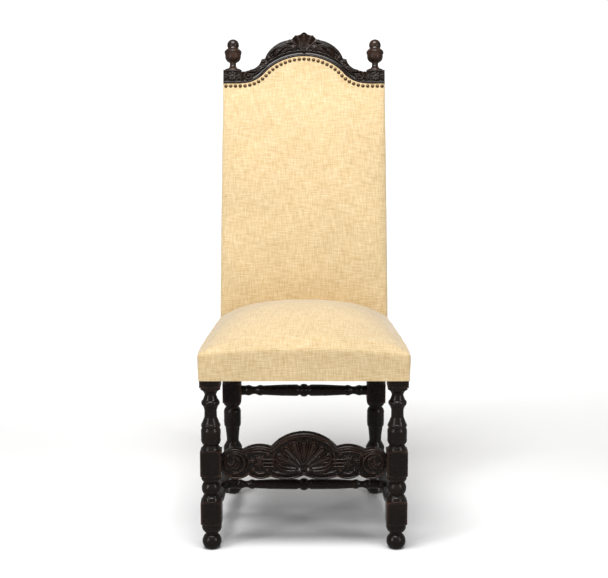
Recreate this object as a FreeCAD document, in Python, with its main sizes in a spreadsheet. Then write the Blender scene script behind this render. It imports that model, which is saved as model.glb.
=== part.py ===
import FreeCAD, Part
import math
import os
import re

import Sketcher

# A high-back side chair of the Jacobean revival, with turned legs and posts, a carved front
# stretcher and crest rail, and an upholstered seat and back. Lengths are in millimetres and
# angles in degrees. X points to the viewer's right, the front of the chair looks along -Y,
# and Z is up. The origin is on the floor, at the middle of the chair's width and depth.

Vector = FreeCAD.Vector

# Driving dimensions: name, value, meaning.
SIZES = (
    ("front_leg_spacing", 452, "between the axes of the front legs"),
    ("back_post_spacing", 393, "between the axes of the back posts"),
    ("seat_frame_depth", 400, "from the front leg axes back to the post axes at the seat"),
    ("foot_splay", 40, "how far the rear feet stand behind the post axes at the seat"),
    ("rake_angle", 16.2, "lean of the back from upright"),
    ("leg_side", 50.5, "square stock of the front legs"),
    ("post_side", 50, "square stock of the back posts"),
    ("foot_height", 67, "floor to the lower square block"),
    ("lower_block_height", 53, "square block that takes the low stretchers"),
    ("ring_turning_height", 68, "turning between the two blocks of a front leg"),
    ("middle_block_height", 60, "square block that takes the carved stretcher"),
    ("baluster_height", 160, "turning under the capital of a front leg"),
    ("capital_height", 18, "square part of a front leg that shows under the seat"),
    ("rear_baluster_height", 151, "turning between the two blocks of a rear leg"),
    ("rear_block_height", 54, "square block that takes the rear stretcher"),
    ("rear_neck_height", 70, "turning between the rear block and the seat"),
    ("seat_rail_height", 60, "height of the four seat rails"),
    ("seat_rail_thickness", 26, "thickness of the four seat rails"),
    ("post_bend_margin", 10, "upright part of a post past the rails, each way"),
    ("post_cheek", 2, "taken off each side of a post where the back is upholstered"),
    ("post_face_setback", 7, "taken off the front of a post where it is upholstered"),
    ("back_height", 649, "from the bend of a post to its carved top block"),
    ("top_block_height", 37.5, "carved block at the top of a post"),
    ("finial_height", 94, "turned finial without its pin"),
    ("finial_radius", 24, "widest radius of the finial"),
    ("finial_pin_radius", 7, "pin that holds the finial"),
    ("finial_pin_length", 25, "depth of the finial's pin in the post"),
    ("tenon_length", 18, "how far a rail's tenon enters"),
    ("tenon_thickness", 10, "thickness of a rail's tenon"),
    ("tenon_shoulder", 8, "rail height left bare above and below a tenon"),
    ("joint_clearance", 0.2, "play round a tenon or a turned end"),
    ("socket_depth", 20, "how far a turned end enters its socket"),
    ("socket_radius", 11, "turned end of a stretcher"),
    ("side_stretcher_side", 34, "square stock of the side stretchers"),
    ("side_stretcher_block", 40, "square middle of a side stretcher"),
    ("medial_stretcher_radius", 16, "widest radius of the medial stretcher"),
    ("rear_stretcher_radius", 17.5, "widest radius of the rear stretcher"),
    ("carved_board_thickness", 24, "thickness of the carved front stretcher"),
    ("carved_hinge_drop", 13, "from the middle of its blocks down to the hinge of its shell"),
    ("carved_arch_rise", 92.5, "from the hinge of its shell up to the top of its arch"),
    ("carved_relief", 5, "depth of the carving, from its rims to its ground"),
    ("carved_roundel_radius", 28, "sunk round field at each end of the carved stretcher"),
    ("carved_boss_radius", 6, "small bosses of the carved stretcher"),
    ("shell_spread", 140, "angle across the stretcher's shell"),
    ("shell_radius", 67, "from the hinge of the stretcher's shell to its lobe tips"),
    ("shell_lobe_radius", 8, "rounded tip of one lobe of the stretcher's shell"),
    ("crest_thickness", 28, "thickness of the carved part of the crest rail"),
    ("crest_shell_rise", 92, "from the foot of the crest up to the hinge of its shell"),
    ("crest_shell_spread", 76, "angle across the crest's shell"),
    ("crest_boss_radius", 7.5, "round bosses of the crest"),
    ("rosette_radius", 11, "ring of the rosette on a post's top block"),
    ("crest_relief", 8.5, "how far the crest's lip stands before its ground"),
    ("crest_arch_rise", 76.5, "rise of the crest's lower edge"),
    ("crest_top_rise", 145.5, "top of the shell above the foot of the crest"),
    ("crest_band", 18, "hollow band along the crest's lower edge"),
    ("crest_lip", 5, "lip at the lower edge of the band"),
    ("tacking_strip", 24, "part of the crest below its lip, under the cloth"),
    ("crest_shell_lobe_radius", 6.8, "rounded tip of one lobe of the crest's shell"),
    ("carved_tenon_height", 34, "height of the carved stretcher's tenons"),
    ("back_rail_height", 45, "height of the lower rail of the back"),
    ("back_rail_rise", 14, "from the bend of the posts up to the lower rail"),
    ("webbing_width", 50, "width of a strip of webbing"),
    ("webbing_thickness", 1.5, "thickness of a strip of webbing"),
    ("hessian_thickness", 1.2, "thickness of the base cloths"),
    ("cloth_thickness", 1.8, "thickness of the linen covers with their lining"),
    ("cloth_gap", 0.3, "air between a cover and what lies inside it"),
    ("seat_front_overhang", 8, "from the face of the front legs to the seat's front"),
    ("seat_side_swell", 4, "how much wider the seat is at its top edge"),
    ("seat_edge_height", 67, "height of the seat's top edge at its front corners"),
    ("seat_edge_climb", 14, "how much higher the top edge is at the back"),
    ("seat_crown", 62, "crown across the middle of the seat"),
    ("seat_edge_radius", 14, "rounding along the seat's top edge"),
    ("back_pad_edge", 13, "thickness of the back's stuffing at its sides"),
    ("back_pad_crown", 20, "how much the back's stuffing swells in the middle"),
    ("back_pad_taper", 90, "length over which the back's stuffing thins below the crest"),
    ("back_edge_radius", 11, "rounding along the front edges of the back"),
    ("seat_nose", 5, "how far the seat's front rounds back to its face"),
    ("seat_skirt_rise", 35, "from the foot of the rails up to the stuffing that laps over them"),
    ("back_side_swell", 4, "how much wider the back is at its foot, each side"),
    ("corner_block_height", 40, "height of the corner blocks"),
    ("corner_block_reach", 60, "how far a corner block reaches along a rail"),
    ("nail_pitch", 13, "from nail to nail"),
    ("nail_radius", 4.5, "radius of a nail's head"),
    ("nail_height", 3, "height of a nail's head"),
    ("nail_drop", 8, "from the crest's lip down to the row of nails"),
    ("cut_overrun", 3, "how far a cut runs past what it cuts"),
)

# Sizes worked out from the driving dimensions.
DERIVED = {
    "lower_block_middle": "foot_height + lower_block_height / 2",
    "lower_block_top": "foot_height + lower_block_height",
    "middle_block_foot": "lower_block_top + ring_turning_height",
    "middle_block_middle": "middle_block_foot + middle_block_height / 2",
    "middle_block_top": "middle_block_foot + middle_block_height",
    "capital_foot": "middle_block_top + baluster_height",
    "seat_rail_foot": "capital_foot + capital_height",
    "seat_rail_top": "seat_rail_foot + seat_rail_height",
    "post_lower_bend": "seat_rail_foot - post_bend_margin",
    "post_upper_bend": "seat_rail_top + post_bend_margin",
    "splay_angle": "atan(foot_splay / post_lower_bend)",
    "rear_block_foot": "lower_block_top + rear_baluster_height",
    "rear_block_middle": "rear_block_foot + rear_block_height / 2",
    "rear_block_top": "rear_block_foot + rear_block_height",
    "rear_foot_depth": "seat_frame_depth + foot_splay",
    "low_socket_depth": "rear_foot_depth - foot_splay * lower_block_middle / post_lower_bend",
    "rear_socket_depth": "rear_foot_depth - foot_splay * rear_block_middle / post_lower_bend",
    "side_convergence": "(front_leg_spacing - back_post_spacing) / 2",
    "side_stretcher_span": "sqrt(side_convergence ^ 2 + low_socket_depth ^ 2)",
    "side_stretcher_angle": "atan(side_convergence / low_socket_depth)",
    "post_top_side": "post_side - 2 * post_cheek",
    "post_face": "post_side / 2 - post_face_setback",
    "finial_ball_middle": "finial_height * 0.82",
    "finial_ball_radius": "finial_height * 0.18",
    "ball_depth": "(back_height + top_block_height + finial_ball_middle) * sin(rake_angle)",
    "rear_reach": "seat_frame_depth + ball_depth + finial_ball_radius",
    "front_reach": "leg_side / 2 + seat_front_overhang",
    "depth_middle": "(rear_reach - front_reach) / 2",
    "carved_ground": "carved_board_thickness / 2 - carved_relief",
    "carved_half_length": "front_leg_spacing / 2 - leg_side / 2",
    "crest_half_length": "(back_post_spacing - post_side) / 2",
    "rail_tenon_height": "seat_rail_height - 2 * tenon_shoulder",
    "rail_mortise_height": "rail_tenon_height + 2 * joint_clearance",
    "mortise_depth": "tenon_length + joint_clearance",
    "mortise_width": "tenon_thickness + 2 * joint_clearance",
    "seat_rail_middle": "seat_rail_foot + seat_rail_height / 2",
    "side_stretcher_ends": "(leg_side / 2 + post_side / 2 - 2 * socket_depth)",
    "side_stretcher_length": "side_stretcher_span - side_stretcher_ends / cos(side_stretcher_angle)",
    "medial_half_length": "front_leg_spacing / 2 - side_convergence / 2 - side_stretcher_side / 2",
    "medial_socket_floor": "side_stretcher_side / 2 - socket_depth - joint_clearance",
    "back_rail_tenon_height": "back_rail_height - 2 * tenon_shoulder",
    "back_rail_middle": "back_rail_rise + back_rail_height / 2",
    "crest_tenon_height": "top_block_height - 2 * tenon_shoulder",
    "crest_tenon_rise": "top_block_height / 2",
    "webbing_top": "seat_rail_top + 2 * webbing_thickness",
    "hessian_top": "webbing_top + hessian_thickness",
    "seat_front": "-front_reach",
    "back_layers": "2 * webbing_thickness + hessian_thickness",
    "back_foot_depth": "post_face + back_layers + cloth_thickness + back_pad_edge + back_pad_crown * 0.2",
    "seat_rear": "seat_frame_depth - back_foot_depth * cos(rake_angle) - cloth_gap",
}

NAME = re.compile(r"[a-z]\w*_\w+")

document = FreeCAD.newDocument("Side_chair")
sheet = document.addObject("Spreadsheet::Sheet", "Sizes")
pieces = []


def expression(text):
    """Write a sum of the sizes the way the objects of the document read it."""

    def written_out(match):
        word = match.group()
        if word in DERIVED:
            return f"({expression(DERIVED[word])})"
        return f"Sizes.{word}"

    return NAME.sub(written_out, str(text))


def value(text):
    """The number that a sum of the sizes comes to."""
    result = sheet.evalExpression(expression(text))
    return getattr(result, "Value", result)


def fill_sheet():
    """One row for each driving dimension: meaning, value, name."""
    for row, (name, number, meaning) in enumerate(SIZES, start=1):
        sheet.set(f"A{row}", meaning)
        sheet.set(f"B{row}", str(number))
        sheet.setAlias(f"B{row}", name)
    document.recompute()


def bind(feature, **sizes):
    """Tie properties of a feature to sums of the sizes."""
    for name, text in sizes.items():
        feature.setExpression(name.replace("__", "."), expression(text))


def place(feature, where, prefix="Placement"):
    """Tie a feature's position to three sums of the sizes."""
    for axis, text in zip("xyz", where):
        feature.setExpression(f"{prefix}.Base.{axis}", expression(text))


def turn(feature, axis, angle, prefix="Placement"):
    """Turn a feature about an axis by an angle that follows the sizes."""
    placement = getattr(feature, prefix)
    placement.Rotation = FreeCAD.Rotation(axis, value(angle))
    setattr(feature, prefix, placement)
    feature.setExpression(f"{prefix}.Rotation.Angle", expression(angle))


def new_body(name, where=("0", "0", "0")):
    """A sub-part of its own, at its place in the chair."""
    body = document.addObject("PartDesign::Body", name)
    body.Label = name
    place(body, where)
    pieces.append(body)
    return body


def new_raked_body(name, rise="0", depth="0", across="0"):
    """A sub-part that leans with the back: its Z runs up the posts and its Y looks rearwards."""
    body = new_body(name, (
        across,
        f"seat_frame_depth - depth_middle + ({rise}) * sin(rake_angle) + ({depth}) * cos(rake_angle)",
        f"post_upper_bend + ({rise}) * cos(rake_angle) - ({depth}) * sin(rake_angle)",
    ))
    turn(body, Vector(-1, 0, 0), "rake_angle")
    return body


def new_sketch(body, name, role):
    """A sketch on one of the body's own planes."""
    sketch = body.newObject("Sketcher::SketchObject", name)
    plane = next(item for item in body.Origin.OriginFeatures if item.Role == role)
    sketch.AttachmentSupport = [(plane, "")]
    sketch.MapMode = "FlatFace"
    return sketch


def draw(sketch, corners):
    """Close an outline through corners, each an across and an up sum and the bulge of its next side.

    The bulge is the tangent of a quarter of the arc's turn: 0 is straight, 1 a half circle,
    and it is positive where the arc runs counter-clockwise.
    """
    points = [Vector(value(across), value(up), 0) for across, up, bulge in corners]
    bulges = [value(bulge) for across, up, bulge in corners]
    sides, rules, ties = [], [], []
    for index, (start, bulge) in enumerate(zip(points, bulges)):
        end = points[(index + 1) % len(points)]
        if not bulge:
            sides.append((sketch.addGeometry(Part.LineSegment(start, end)), 1, 2))
            continue
        chord = end - start
        middle = (start + end) * 0.5 + Vector(chord.y, -chord.x, 0) * (bulge / 2)
        if bulge > 0:
            sides.append((sketch.addGeometry(Part.Arc(start, middle, end)), 1, 2))
        else:
            sides.append((sketch.addGeometry(Part.Arc(end, middle, start)), 2, 1))
        ties.append((len(rules), f"4 * atan(abs({corners[index][2]}))"))
        rules.append(Sketcher.Constraint("Angle", sides[-1][0], 4 * math.atan(abs(bulge))))
    for index, (side, first, last) in enumerate(sides):
        following, joined, _ = sides[(index + 1) % len(sides)]
        rules.append(Sketcher.Constraint("Coincident", side, last, following, joined))
        across, up, _ = corners[index]
        ties.append((len(rules), across))
        rules.append(Sketcher.Constraint("DistanceX", -1, 1, side, first, points[index].x))
        ties.append((len(rules), up))
        rules.append(Sketcher.Constraint("DistanceY", -1, 1, side, first, points[index].y))
    sketch.addConstraint(rules)
    for rule, text in ties:
        if NAME.search(str(text)):
            sketch.setExpression(f"Constraints[{rule}]", expression(text))


def outline(body, name, role, corners):
    """A closed outline on one of the body's planes."""
    sketch = new_sketch(body, name, role)
    draw(sketch, corners)
    return sketch


def extrude(body, kind, name, sketch, length, midplane=True, reverse=False):
    """Pad or Pocket a sketch by a length that follows the sizes."""
    feature = body.newObject(f"PartDesign::{kind}", name)
    feature.Profile = sketch
    feature.Midplane = midplane
    feature.Reversed = reverse
    bind(feature, Length=length)
    return feature


def spin(body, kind, name, sketch):
    """Revolution or Groove of a sketch about its upright axis."""
    feature = body.newObject(f"PartDesign::{kind}", name)
    feature.Profile = sketch
    feature.ReferenceAxis = (sketch, ["V_Axis"])
    return feature


def block(body, kind, name, middle, lengths):
    """Additive or Subtractive box about a middle point."""
    feature = body.newObject(f"PartDesign::{kind}Box", name)
    bind(feature, Length=lengths[0], Width=lengths[1], Height=lengths[2])
    place(feature, [f"{point} - ({length}) / 2" for point, length in zip(middle, lengths)])
    return feature


def mirror(body, name, features, role="YZ_Plane"):
    """The same features on the other side of one of the body's planes."""
    document.recompute()
    feature = body.newObject("PartDesign::Mirrored", name)
    feature.Originals = features
    plane = next(item for item in body.Origin.OriginFeatures if item.Role == role)
    feature.MirrorPlane = (plane, [""])
    body.Tip = feature
    return feature


# Turned outlines, from the bottom of each turning to its top: share of its height, share of
# half the stock's side, bulge of the stretch that follows. The first and last points of a
# turning between two blocks lie outside the stock, so that the cut rounds the blocks' corners.
# A bulge of BALL makes the stretch part of a ball centred on the axis.
BALL = "ball"
FOOT_SHARES = (
    (-0.1, 0.6, 0), (0, 0.6, BALL), (0.537, 0.6, 0), (0.6, 0.61, 0.3), (0.84, 0.96, 0),
    (0.93, 0.96, 0), (1, 1.45, 0),
)
RING_SHARES = (
    (0, 1.45, 0), (0.05, 0.93, 0), (0.17, 0.84, -0.25), (0.265, 0.735, BALL), (0.7, 0.735, 0),
    (0.76, 0.86, 0.25), (0.86, 0.97, 0), (0.94, 0.97, 0), (1, 1.45, 0),
)
BALUSTER_SHARES = (
    (0, 1.45, 0), (0.015, 0.93, 0), (0.05, 0.84, 0), (0.085, 0.71, 0.3), (0.18, 0.935, 0),
    (0.31, 0.955, 0), (0.355, 0.85, 0.4), (0.42, 0.85, 0), (0.52, 0.605, 0), (0.625, 0.59, 0),
    (0.69, 0.72, 0.55), (0.785, 0.72, 0), (0.86, 0.555, -0.22), (0.94, 0.88, 0),
    (0.945, 0.955, 0), (0.99, 0.96, 0), (1, 1.45, 0),
)
REAR_BALUSTER_SHARES = (
    (0, 1.45, 0), (0.04, 0.96, 0.3), (0.13, 0.95, 0), (0.22, 0.66, 0), (0.28, 0.66, 0),
    (0.5, 0.8, 0), (0.52, 0.9, 0), (0.58, 0.93, 0), (0.76, 0.93, 0.25), (0.87, 0.7, -0.2),
    (0.93, 0.92, 0), (0.985, 0.97, 0), (1, 1.45, 0),
)
REAR_NECK_SHARES = (
    (0, 1.45, 0), (0.05, 0.96, 0), (0.2, 0.88, -0.25), (0.36, 0.7, BALL), (0.64, 0.7, -0.25),
    (0.8, 0.88, 0), (0.95, 0.96, 0), (1, 1.45, 0),
)
# Half of a side stretcher, from its square middle to its socket.
SIDE_STRETCHER_SHARES = (
    (0, 1.45, 0), (0.03, 0.92, 0.4), (0.1, 0.88, 0), (0.16, 0.62, 0.12), (0.4, 0.93, 0.12),
    (0.72, 0.66, 0), (0.78, 0.72, BALL), (0.86, 0.72, 0), (0.9, 0.65, 0),
)
# Half of a turned rail, from its middle to its shoulder: share of the half length, share of
# the widest radius.
MEDIAL_SHARES = (
    (0, 1, 0.22), (0.055, 0.72, 0), (0.07, 0.72, 0), (0.1, 0.84, 0), (0.45, 0.8, 0),
    (0.66, 0.66, BALL), (0.73, 0.66, -0.25), (0.82, 0.66, BALL), (0.89, 0.66, 0), (1, 0.68, 0),
)
REAR_STRETCHER_SHARES = (
    (0, 1, 0.3), (0.06, 0.75, 0), (0.075, 0.75, 0), (0.11, 0.91, 0), (0.35, 0.88, 0),
    (0.655, 0.74, BALL), (0.735, 0.74, -0.25), (0.845, 0.74, BALL), (0.92, 0.74, 0), (1, 0.76, 0),
)
FINIAL_SHARES = (
    (0, 0.95, 0), (0.07, 0.93, 0), (0.08, 0.7, -0.2), (0.2, 0.36, 0), (0.28, 0.36, 0),
    (0.31, 0.44, 0.3), (0.46, 0.9, 0), (0.57, 0.92, 0), (0.58, 0.99, 0), (0.63, 0.98, 0.15),
    (0.7, 0.66, 0), (0.745, 0.6, BALL), (1, 0, 0),
)


def turned_outline(shares, foot, height, radius):
    """Corners of a turned outline, its balls worked out from the shares at their two ends."""
    corners = []
    for index, (up, wide, bulge) in enumerate(shares):
        if bulge == BALL:
            above, across, _ = shares[index + 1]
            run = f"({height}) * {(above - up) / (1 if across == 0 else 2)}"
            bulge = f"tan(atan({run} / (({radius}) * {wide})) / 2)"
        corners.append((f"({radius}) * {wide}", f"{foot} + ({height}) * {up}", bulge))
    return corners


def turning(body, name, role, foot, height, side, shares):
    """Cut one turned stretch of square stock on the lathe."""
    clear = f"{side} * 0.8"
    corners = turned_outline(shares, foot, height, f"{side} / 2")
    corners.append((clear, f"{foot} + {height} * {shares[-1][0]}", 0))
    corners.append((clear, f"{foot} + {height} * {shares[0][0]}", 0))
    return spin(body, "Groove", name, outline(body, name + "_outline", role, corners))


# Half outlines of the two carved pieces, from the foot at the middle round to the top: share
# of the half length, share of the rise, bulge of the side that follows. The last side of each
# crosses the middle.
CARVED_BOARD_SHARES = (
    (0, -0.178, 0.22), (0.406, -0.211, 0.3), (0.672, -0.172, 0.437), (1, -0.075, 0),
    (1, 0.335, 0.45), (0.742, 0.47, 0.363), (0.3985, 0.627, 0.431),
)
CREST_TOP_SHARES = (
    (1, 0.254, 0), (0.921, 0.254, -0.2), (0.7055, 0.4055, 0), (0.679, 0.488, 0),
    (0.624, 0.502, 0.31), (0.1925, 0.866, 0.4), (0.0933, 0.9485, 0), (0.07, 0.955, 0.55),
)
# Sunk fields of the carved stretcher between its rims: the middle one, then the one beside it,
# then the middle of the round one at its end.
MIDDLE_FIELD_SHARES = ((0.37, -0.08, 0), (0.35, 0.54, 0.42))
SIDE_FIELD_SHARES = (
    (0.43, -0.1, 0), (0.64, -0.08, 0), (0.68, 0.38, 0.3), (0.43, 0.5, 0),
)
ROUNDEL_SHARES = (0.8345, 0.13)
# Round bosses of the carved pieces: share of the half length, share of the rise.
CARVED_BOSS_SHARES = ((0.055, -0.06), (0.442, 0.39), (0.655, 0.37), (0.615, -0.043), (0.455, -0.043))
CREST_BOSS_SHARES = ((0.17, 0.693), (0.565, 0.502), (0.886, 0.16))
# Leaves of the carved pieces: share of the half length, share of the rise, length and width as
# shares of the shell's radius, lean to the left in degrees.
CARVED_LEAF_SHARES = (
    (0.2, -0.065, 0.62, 0.13, 84), (0.21, 0.05, 0.5, 0.1, 70), (0.53, 0.1, 0.38, 0.05, 90),
    (0.53, 0.18, 0.38, 0.05, 90), (0.53, 0.26, 0.38, 0.05, 90), (0.8345, 0.17, 0.5, 0.2, -30),
)
CREST_LEAF_SHARES = (
    (0.36, 0.67, 0.95, 0.26, 62), (0.4, 0.53, 0.7, 0.2, 50), (0.72, 0.3, 0.6, 0.24, 35),
)
# The crest's lower edge is an ogee: this share of the half length and of the arch's rise,
# with the bulges of the hollow stretch outside it and of the arch inside it.
OGEE_ACROSS_SHARE = 0.612
OGEE_UP_SHARE = 0.431
OGEE_HOLLOW_BULGE = 0.2345
OGEE_ARCH_BULGE = 0.199
OGEE_SLANT = math.sin(math.radians(47))
# The seat from front to back: share of its depth, of its edge's climb and of its crown.
SEAT_SHARES = (
    (0.016, 0, 0.19), (0.15, 0.1, 0.5), (0.33, 0.3, 0.82), (0.53, 0.5, 1),
    (0.74, 0.75, 0.95), (1, 1, 0.72),
)
# The back from its foot to the thin part under the crest: share of the height, of the
# stuffing's thickness at the sides, of its crown.
BACK_SHARES = (
    (0.002, 0.6, 0.1), (0.12, 1, 0.7), (0.3, 1, 1), (0.6, 1, 0.9), (0.85, 0.9, 0.6), (0.94, 0.35, 0.2),
)


def mortise(body, name, middle, lengths):
    """Slot for a tenon, with play all round."""
    block(body, "Subtractive", name, middle, lengths)


def socket(body, name, mouth, towards, turned):
    """Round hole for a turned end: from its mouth, along a level line turned from the given axis."""
    hole = body.newObject("PartDesign::SubtractiveCylinder", name)
    bind(hole, Radius="socket_radius + joint_clearance", Height="leg_side")
    place(hole, mouth)
    level = FreeCAD.Rotation(Vector(0, 0, 1), towards)
    aim = FreeCAD.Rotation(Vector(0, 0, 1), turned)
    hole.Placement = FreeCAD.Placement(hole.Placement.Base, aim.multiply(level))


def front_leg(side_name, side):
    """Front leg: turned between its blocks, square where stretchers and seat rails meet it."""
    leg = new_body("front_leg_" + side_name,
                   (f"{side} * front_leg_spacing / 2", "-depth_middle", "0"))
    block(leg, "Additive", "stock", ("0", "0", "seat_rail_top / 2"),
          ("leg_side", "leg_side", "seat_rail_top"))
    turning(leg, "foot", "XZ_Plane", "0", "foot_height", "leg_side", FOOT_SHARES)
    turning(leg, "rings", "XZ_Plane", "lower_block_top", "ring_turning_height", "leg_side",
            RING_SHARES)
    turning(leg, "baluster", "XZ_Plane", "middle_block_top", "baluster_height", "leg_side",
            BALUSTER_SHARES)
    inwards = f"{-side} * (leg_side / 2 - mortise_depth / 2)"
    rail_line = "leg_side / 2 - seat_rail_thickness / 2"
    mortise(leg, "front_rail_mortise", (inwards, f"-({rail_line})", "seat_rail_middle"),
            ("mortise_depth", "mortise_width", "rail_mortise_height"))
    mortise(leg, "side_rail_mortise",
            (f"{side} * ({rail_line})", "leg_side / 2 - mortise_depth / 2", "seat_rail_middle"),
            ("mortise_width", "mortise_depth", "rail_mortise_height"))
    mortise(leg, "carved_board_mortise", (inwards, "0", "middle_block_middle"),
            ("mortise_depth", "mortise_width", "carved_tenon_height + 2 * joint_clearance"))
    deep = "(leg_side / 2 - socket_depth - joint_clearance)"
    socket(leg, "side_stretcher_socket",
           (f"{-side} * {deep} * tan(side_stretcher_angle)", deep, "lower_block_middle"),
           Vector(0, 1, 0), side * value("side_stretcher_angle"))


def splayed_turning(post, name, foot, height, shares):
    """Turned stretch of the splayed lower post, drawn along its own leaning axis."""
    feature = turning(post, name, "YZ_Plane", foot, height, "post_side", shares)
    sketch = feature.Profile[0]
    turn(sketch, Vector(0, 0, 1), "splay_angle", "AttachmentOffset")
    bind(sketch, AttachmentOffset__Base__x="foot_splay")


def post_stretch(post, name, points, width):
    """One stretch of the post, sawn to a side view and as wide as given."""
    corners = [(across, up, 0) for across, up in points]
    extrude(post, "Pad", name, outline(post, name + "_outline", "YZ_Plane", corners), width)


def raked(across, up):
    """A point of the leaning back, in the side view of the post."""
    return (f"({across}) * cos(rake_angle) + ({up}) * sin(rake_angle)",
            f"post_upper_bend + ({up}) * cos(rake_angle) - ({across}) * sin(rake_angle)")


def mitre(across):
    """Where an upright line of the post's side view meets its leaning continuation."""
    return across, f"post_upper_bend - ({across}) * tan(rake_angle / 2)"


def back_post(side_name, side):
    """Back post: one bent piece, turned below the seat, square above it, with a carved top block."""
    post = new_body("back_post_" + side_name,
                    (f"{side} * back_post_spacing / 2", "seat_frame_depth - depth_middle", "0"))
    half = "post_side / 2"
    lean = f"{half} / cos(splay_angle)"
    post_stretch(post, "lower", (
        (f"foot_splay - {lean}", "0"), (f"foot_splay + {lean}", "0"), (half, "post_lower_bend"),
        mitre(half), (f"-{half}", "post_upper_bend"), (f"-{half}", "post_lower_bend"),
    ), "post_side")
    front, rear = "-post_face", half
    post_stretch(post, "upper", (
        (front, "post_upper_bend - post_bend_margin"), (rear, "post_upper_bend - post_bend_margin"),
        mitre(rear), raked(rear, "back_height + cut_overrun"),
        raked(front, "back_height + cut_overrun"), mitre(front),
    ), "post_top_side")
    top = "back_height + top_block_height"
    post_stretch(post, "top_block", (
        raked(f"-{half}", "back_height"), raked(half, "back_height"), raked(half, top),
        raked(f"-{half}", top),
    ), "post_side")
    splayed_turning(post, "foot", "0", "foot_height", FOOT_SHARES)
    splayed_turning(post, "baluster", "lower_block_top", "rear_baluster_height",
                    REAR_BALUSTER_SHARES)
    splayed_turning(post, "neck", "rear_block_top", "rear_neck_height", REAR_NECK_SHARES)
    inwards = f"{-side} * (post_side / 2 - mortise_depth / 2)"
    mortise(post, "rear_rail_mortise", (inwards, "0", "seat_rail_middle"),
            ("mortise_depth", "mortise_width", "rail_mortise_height"))
    mortise(post, "side_rail_mortise",
            (f"{side} * (post_side / 2 - seat_rail_thickness / 2)",
             "mortise_depth / 2 - post_side / 2", "seat_rail_middle"),
            ("mortise_width", "mortise_depth", "rail_mortise_height"))
    deep = "(socket_depth + joint_clearance - post_side / 2)"
    socket(post, "side_stretcher_socket",
           (f"{-side} * {deep} * tan(side_stretcher_angle)",
            f"low_socket_depth - seat_frame_depth + {deep}", "lower_block_middle"),
           Vector(0, -1, 0), side * value("side_stretcher_angle"))
    socket(post, "rear_stretcher_socket",
           (f"{-side} * (post_side / 2 - socket_depth - joint_clearance)",
            "rear_socket_depth - seat_frame_depth", "rear_block_middle"),
           Vector(-side, 0, 0), 0)
    leaning = {
        "back_rail_mortise": ("back_rail_middle", "back_rail_tenon_height + 2 * joint_clearance"),
        "crest_mortise": ("crest_tenon_rise + back_height", "crest_tenon_height + 2 * joint_clearance"),
    }
    for name, (rise, height) in leaning.items():
        feature = post.newObject("PartDesign::SubtractiveBox", name)
        bind(feature, Length="mortise_depth", Width="mortise_width", Height=height)
        across, up = raked("-mortise_width / 2", f"({rise}) - ({height}) / 2")
        place(feature, (f"{inwards} - mortise_depth / 2", across, up))
        turn(feature, Vector(-1, 0, 0), "rake_angle")
    rosette(post)
    hole = post.newObject("PartDesign::SubtractiveCylinder", "finial_hole")
    bind(hole, Radius="finial_pin_radius + joint_clearance",
         Height="finial_pin_length + cut_overrun")
    place(hole, ("0", *raked("0", f"{top} - finial_pin_length - joint_clearance")))
    turn(hole, Vector(-1, 0, 0), "rake_angle")


def finial(side_name, side):
    """Turned urn with a ball on top and a pin below."""
    urn = new_raked_body("finial_" + side_name, "back_height + top_block_height",
                         across=f"{side} * back_post_spacing / 2")
    corners = [("0", "-finial_pin_length", 0), ("finial_pin_radius", "-finial_pin_length", 0),
               ("finial_pin_radius", "0", 0)]
    corners += turned_outline(FINIAL_SHARES, "0", "finial_height", "finial_radius")
    spin(urn, "Revolution", "turned_form", outline(urn, "turned_outline", "XZ_Plane", corners))


def turned_rail(name, middle, half_length, radius, shares):
    """Turned rail across the chair: half its outline, spun and mirrored, with an end for a socket."""
    rail = new_body(name, middle)
    turn(rail, Vector(0, 1, 0), "90")
    corners = turned_outline(shares, "0", half_length, radius)
    end = f"{half_length} + socket_depth"
    corners += [("socket_radius", half_length, 0), ("socket_radius", end, 0), ("0", end, 0),
                ("0", "0", 0)]
    half = spin(rail, "Revolution", "half", outline(rail, "half_outline", "XZ_Plane", corners))
    mirror(rail, "whole", [half], "XY_Plane")


def side_stretcher(side_name, side):
    """Low stretcher from front leg to back post, square at its middle for the cross stretcher."""
    middle = (f"{side} * (front_leg_spacing / 2 - side_convergence / 2)",
              "low_socket_depth / 2 - depth_middle", "lower_block_middle")
    rail = new_body("side_stretcher_" + side_name, middle)
    angle = side * value("side_stretcher_angle")
    aim = FreeCAD.Rotation(Vector(0, 0, 1), angle)
    rail.Placement.Rotation = aim.multiply(FreeCAD.Rotation(Vector(1, 0, 0), -90))
    length = "side_stretcher_length"
    block(rail, "Additive", "stock", ("0", "0", "0"),
          ("side_stretcher_side", "side_stretcher_side", length))
    turned = "(side_stretcher_length / 2 - side_stretcher_block / 2 - socket_depth)"
    corners = turned_outline(SIDE_STRETCHER_SHARES, "side_stretcher_block / 2", turned,
                             "side_stretcher_side / 2")
    end = f"{length} / 2 + cut_overrun"
    corners += [("socket_radius", f"{length} / 2 - socket_depth", 0), ("socket_radius", end, 0),
                ("side_stretcher_side * 0.8", end, 0),
                ("side_stretcher_side * 0.8", "side_stretcher_block / 2", 0)]
    half = spin(rail, "Groove", "turned_half", outline(rail, "half_outline", "XZ_Plane", corners))
    mirror(rail, "both_halves", [half], "XY_Plane")
    document.recompute()
    hole = rail.newObject("PartDesign::SubtractiveCylinder", "medial_socket")
    bind(hole, Radius="socket_radius + joint_clearance", Height="side_stretcher_side")
    place(hole, (f"{-side} * medial_socket_floor", "0", "0"))
    level = FreeCAD.Rotation(Vector(0, 0, 1), Vector(-side, 0, 0))
    aim = FreeCAD.Rotation(Vector(0, 1, 0), angle)
    hole.Placement.Rotation = aim.multiply(level)


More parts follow.
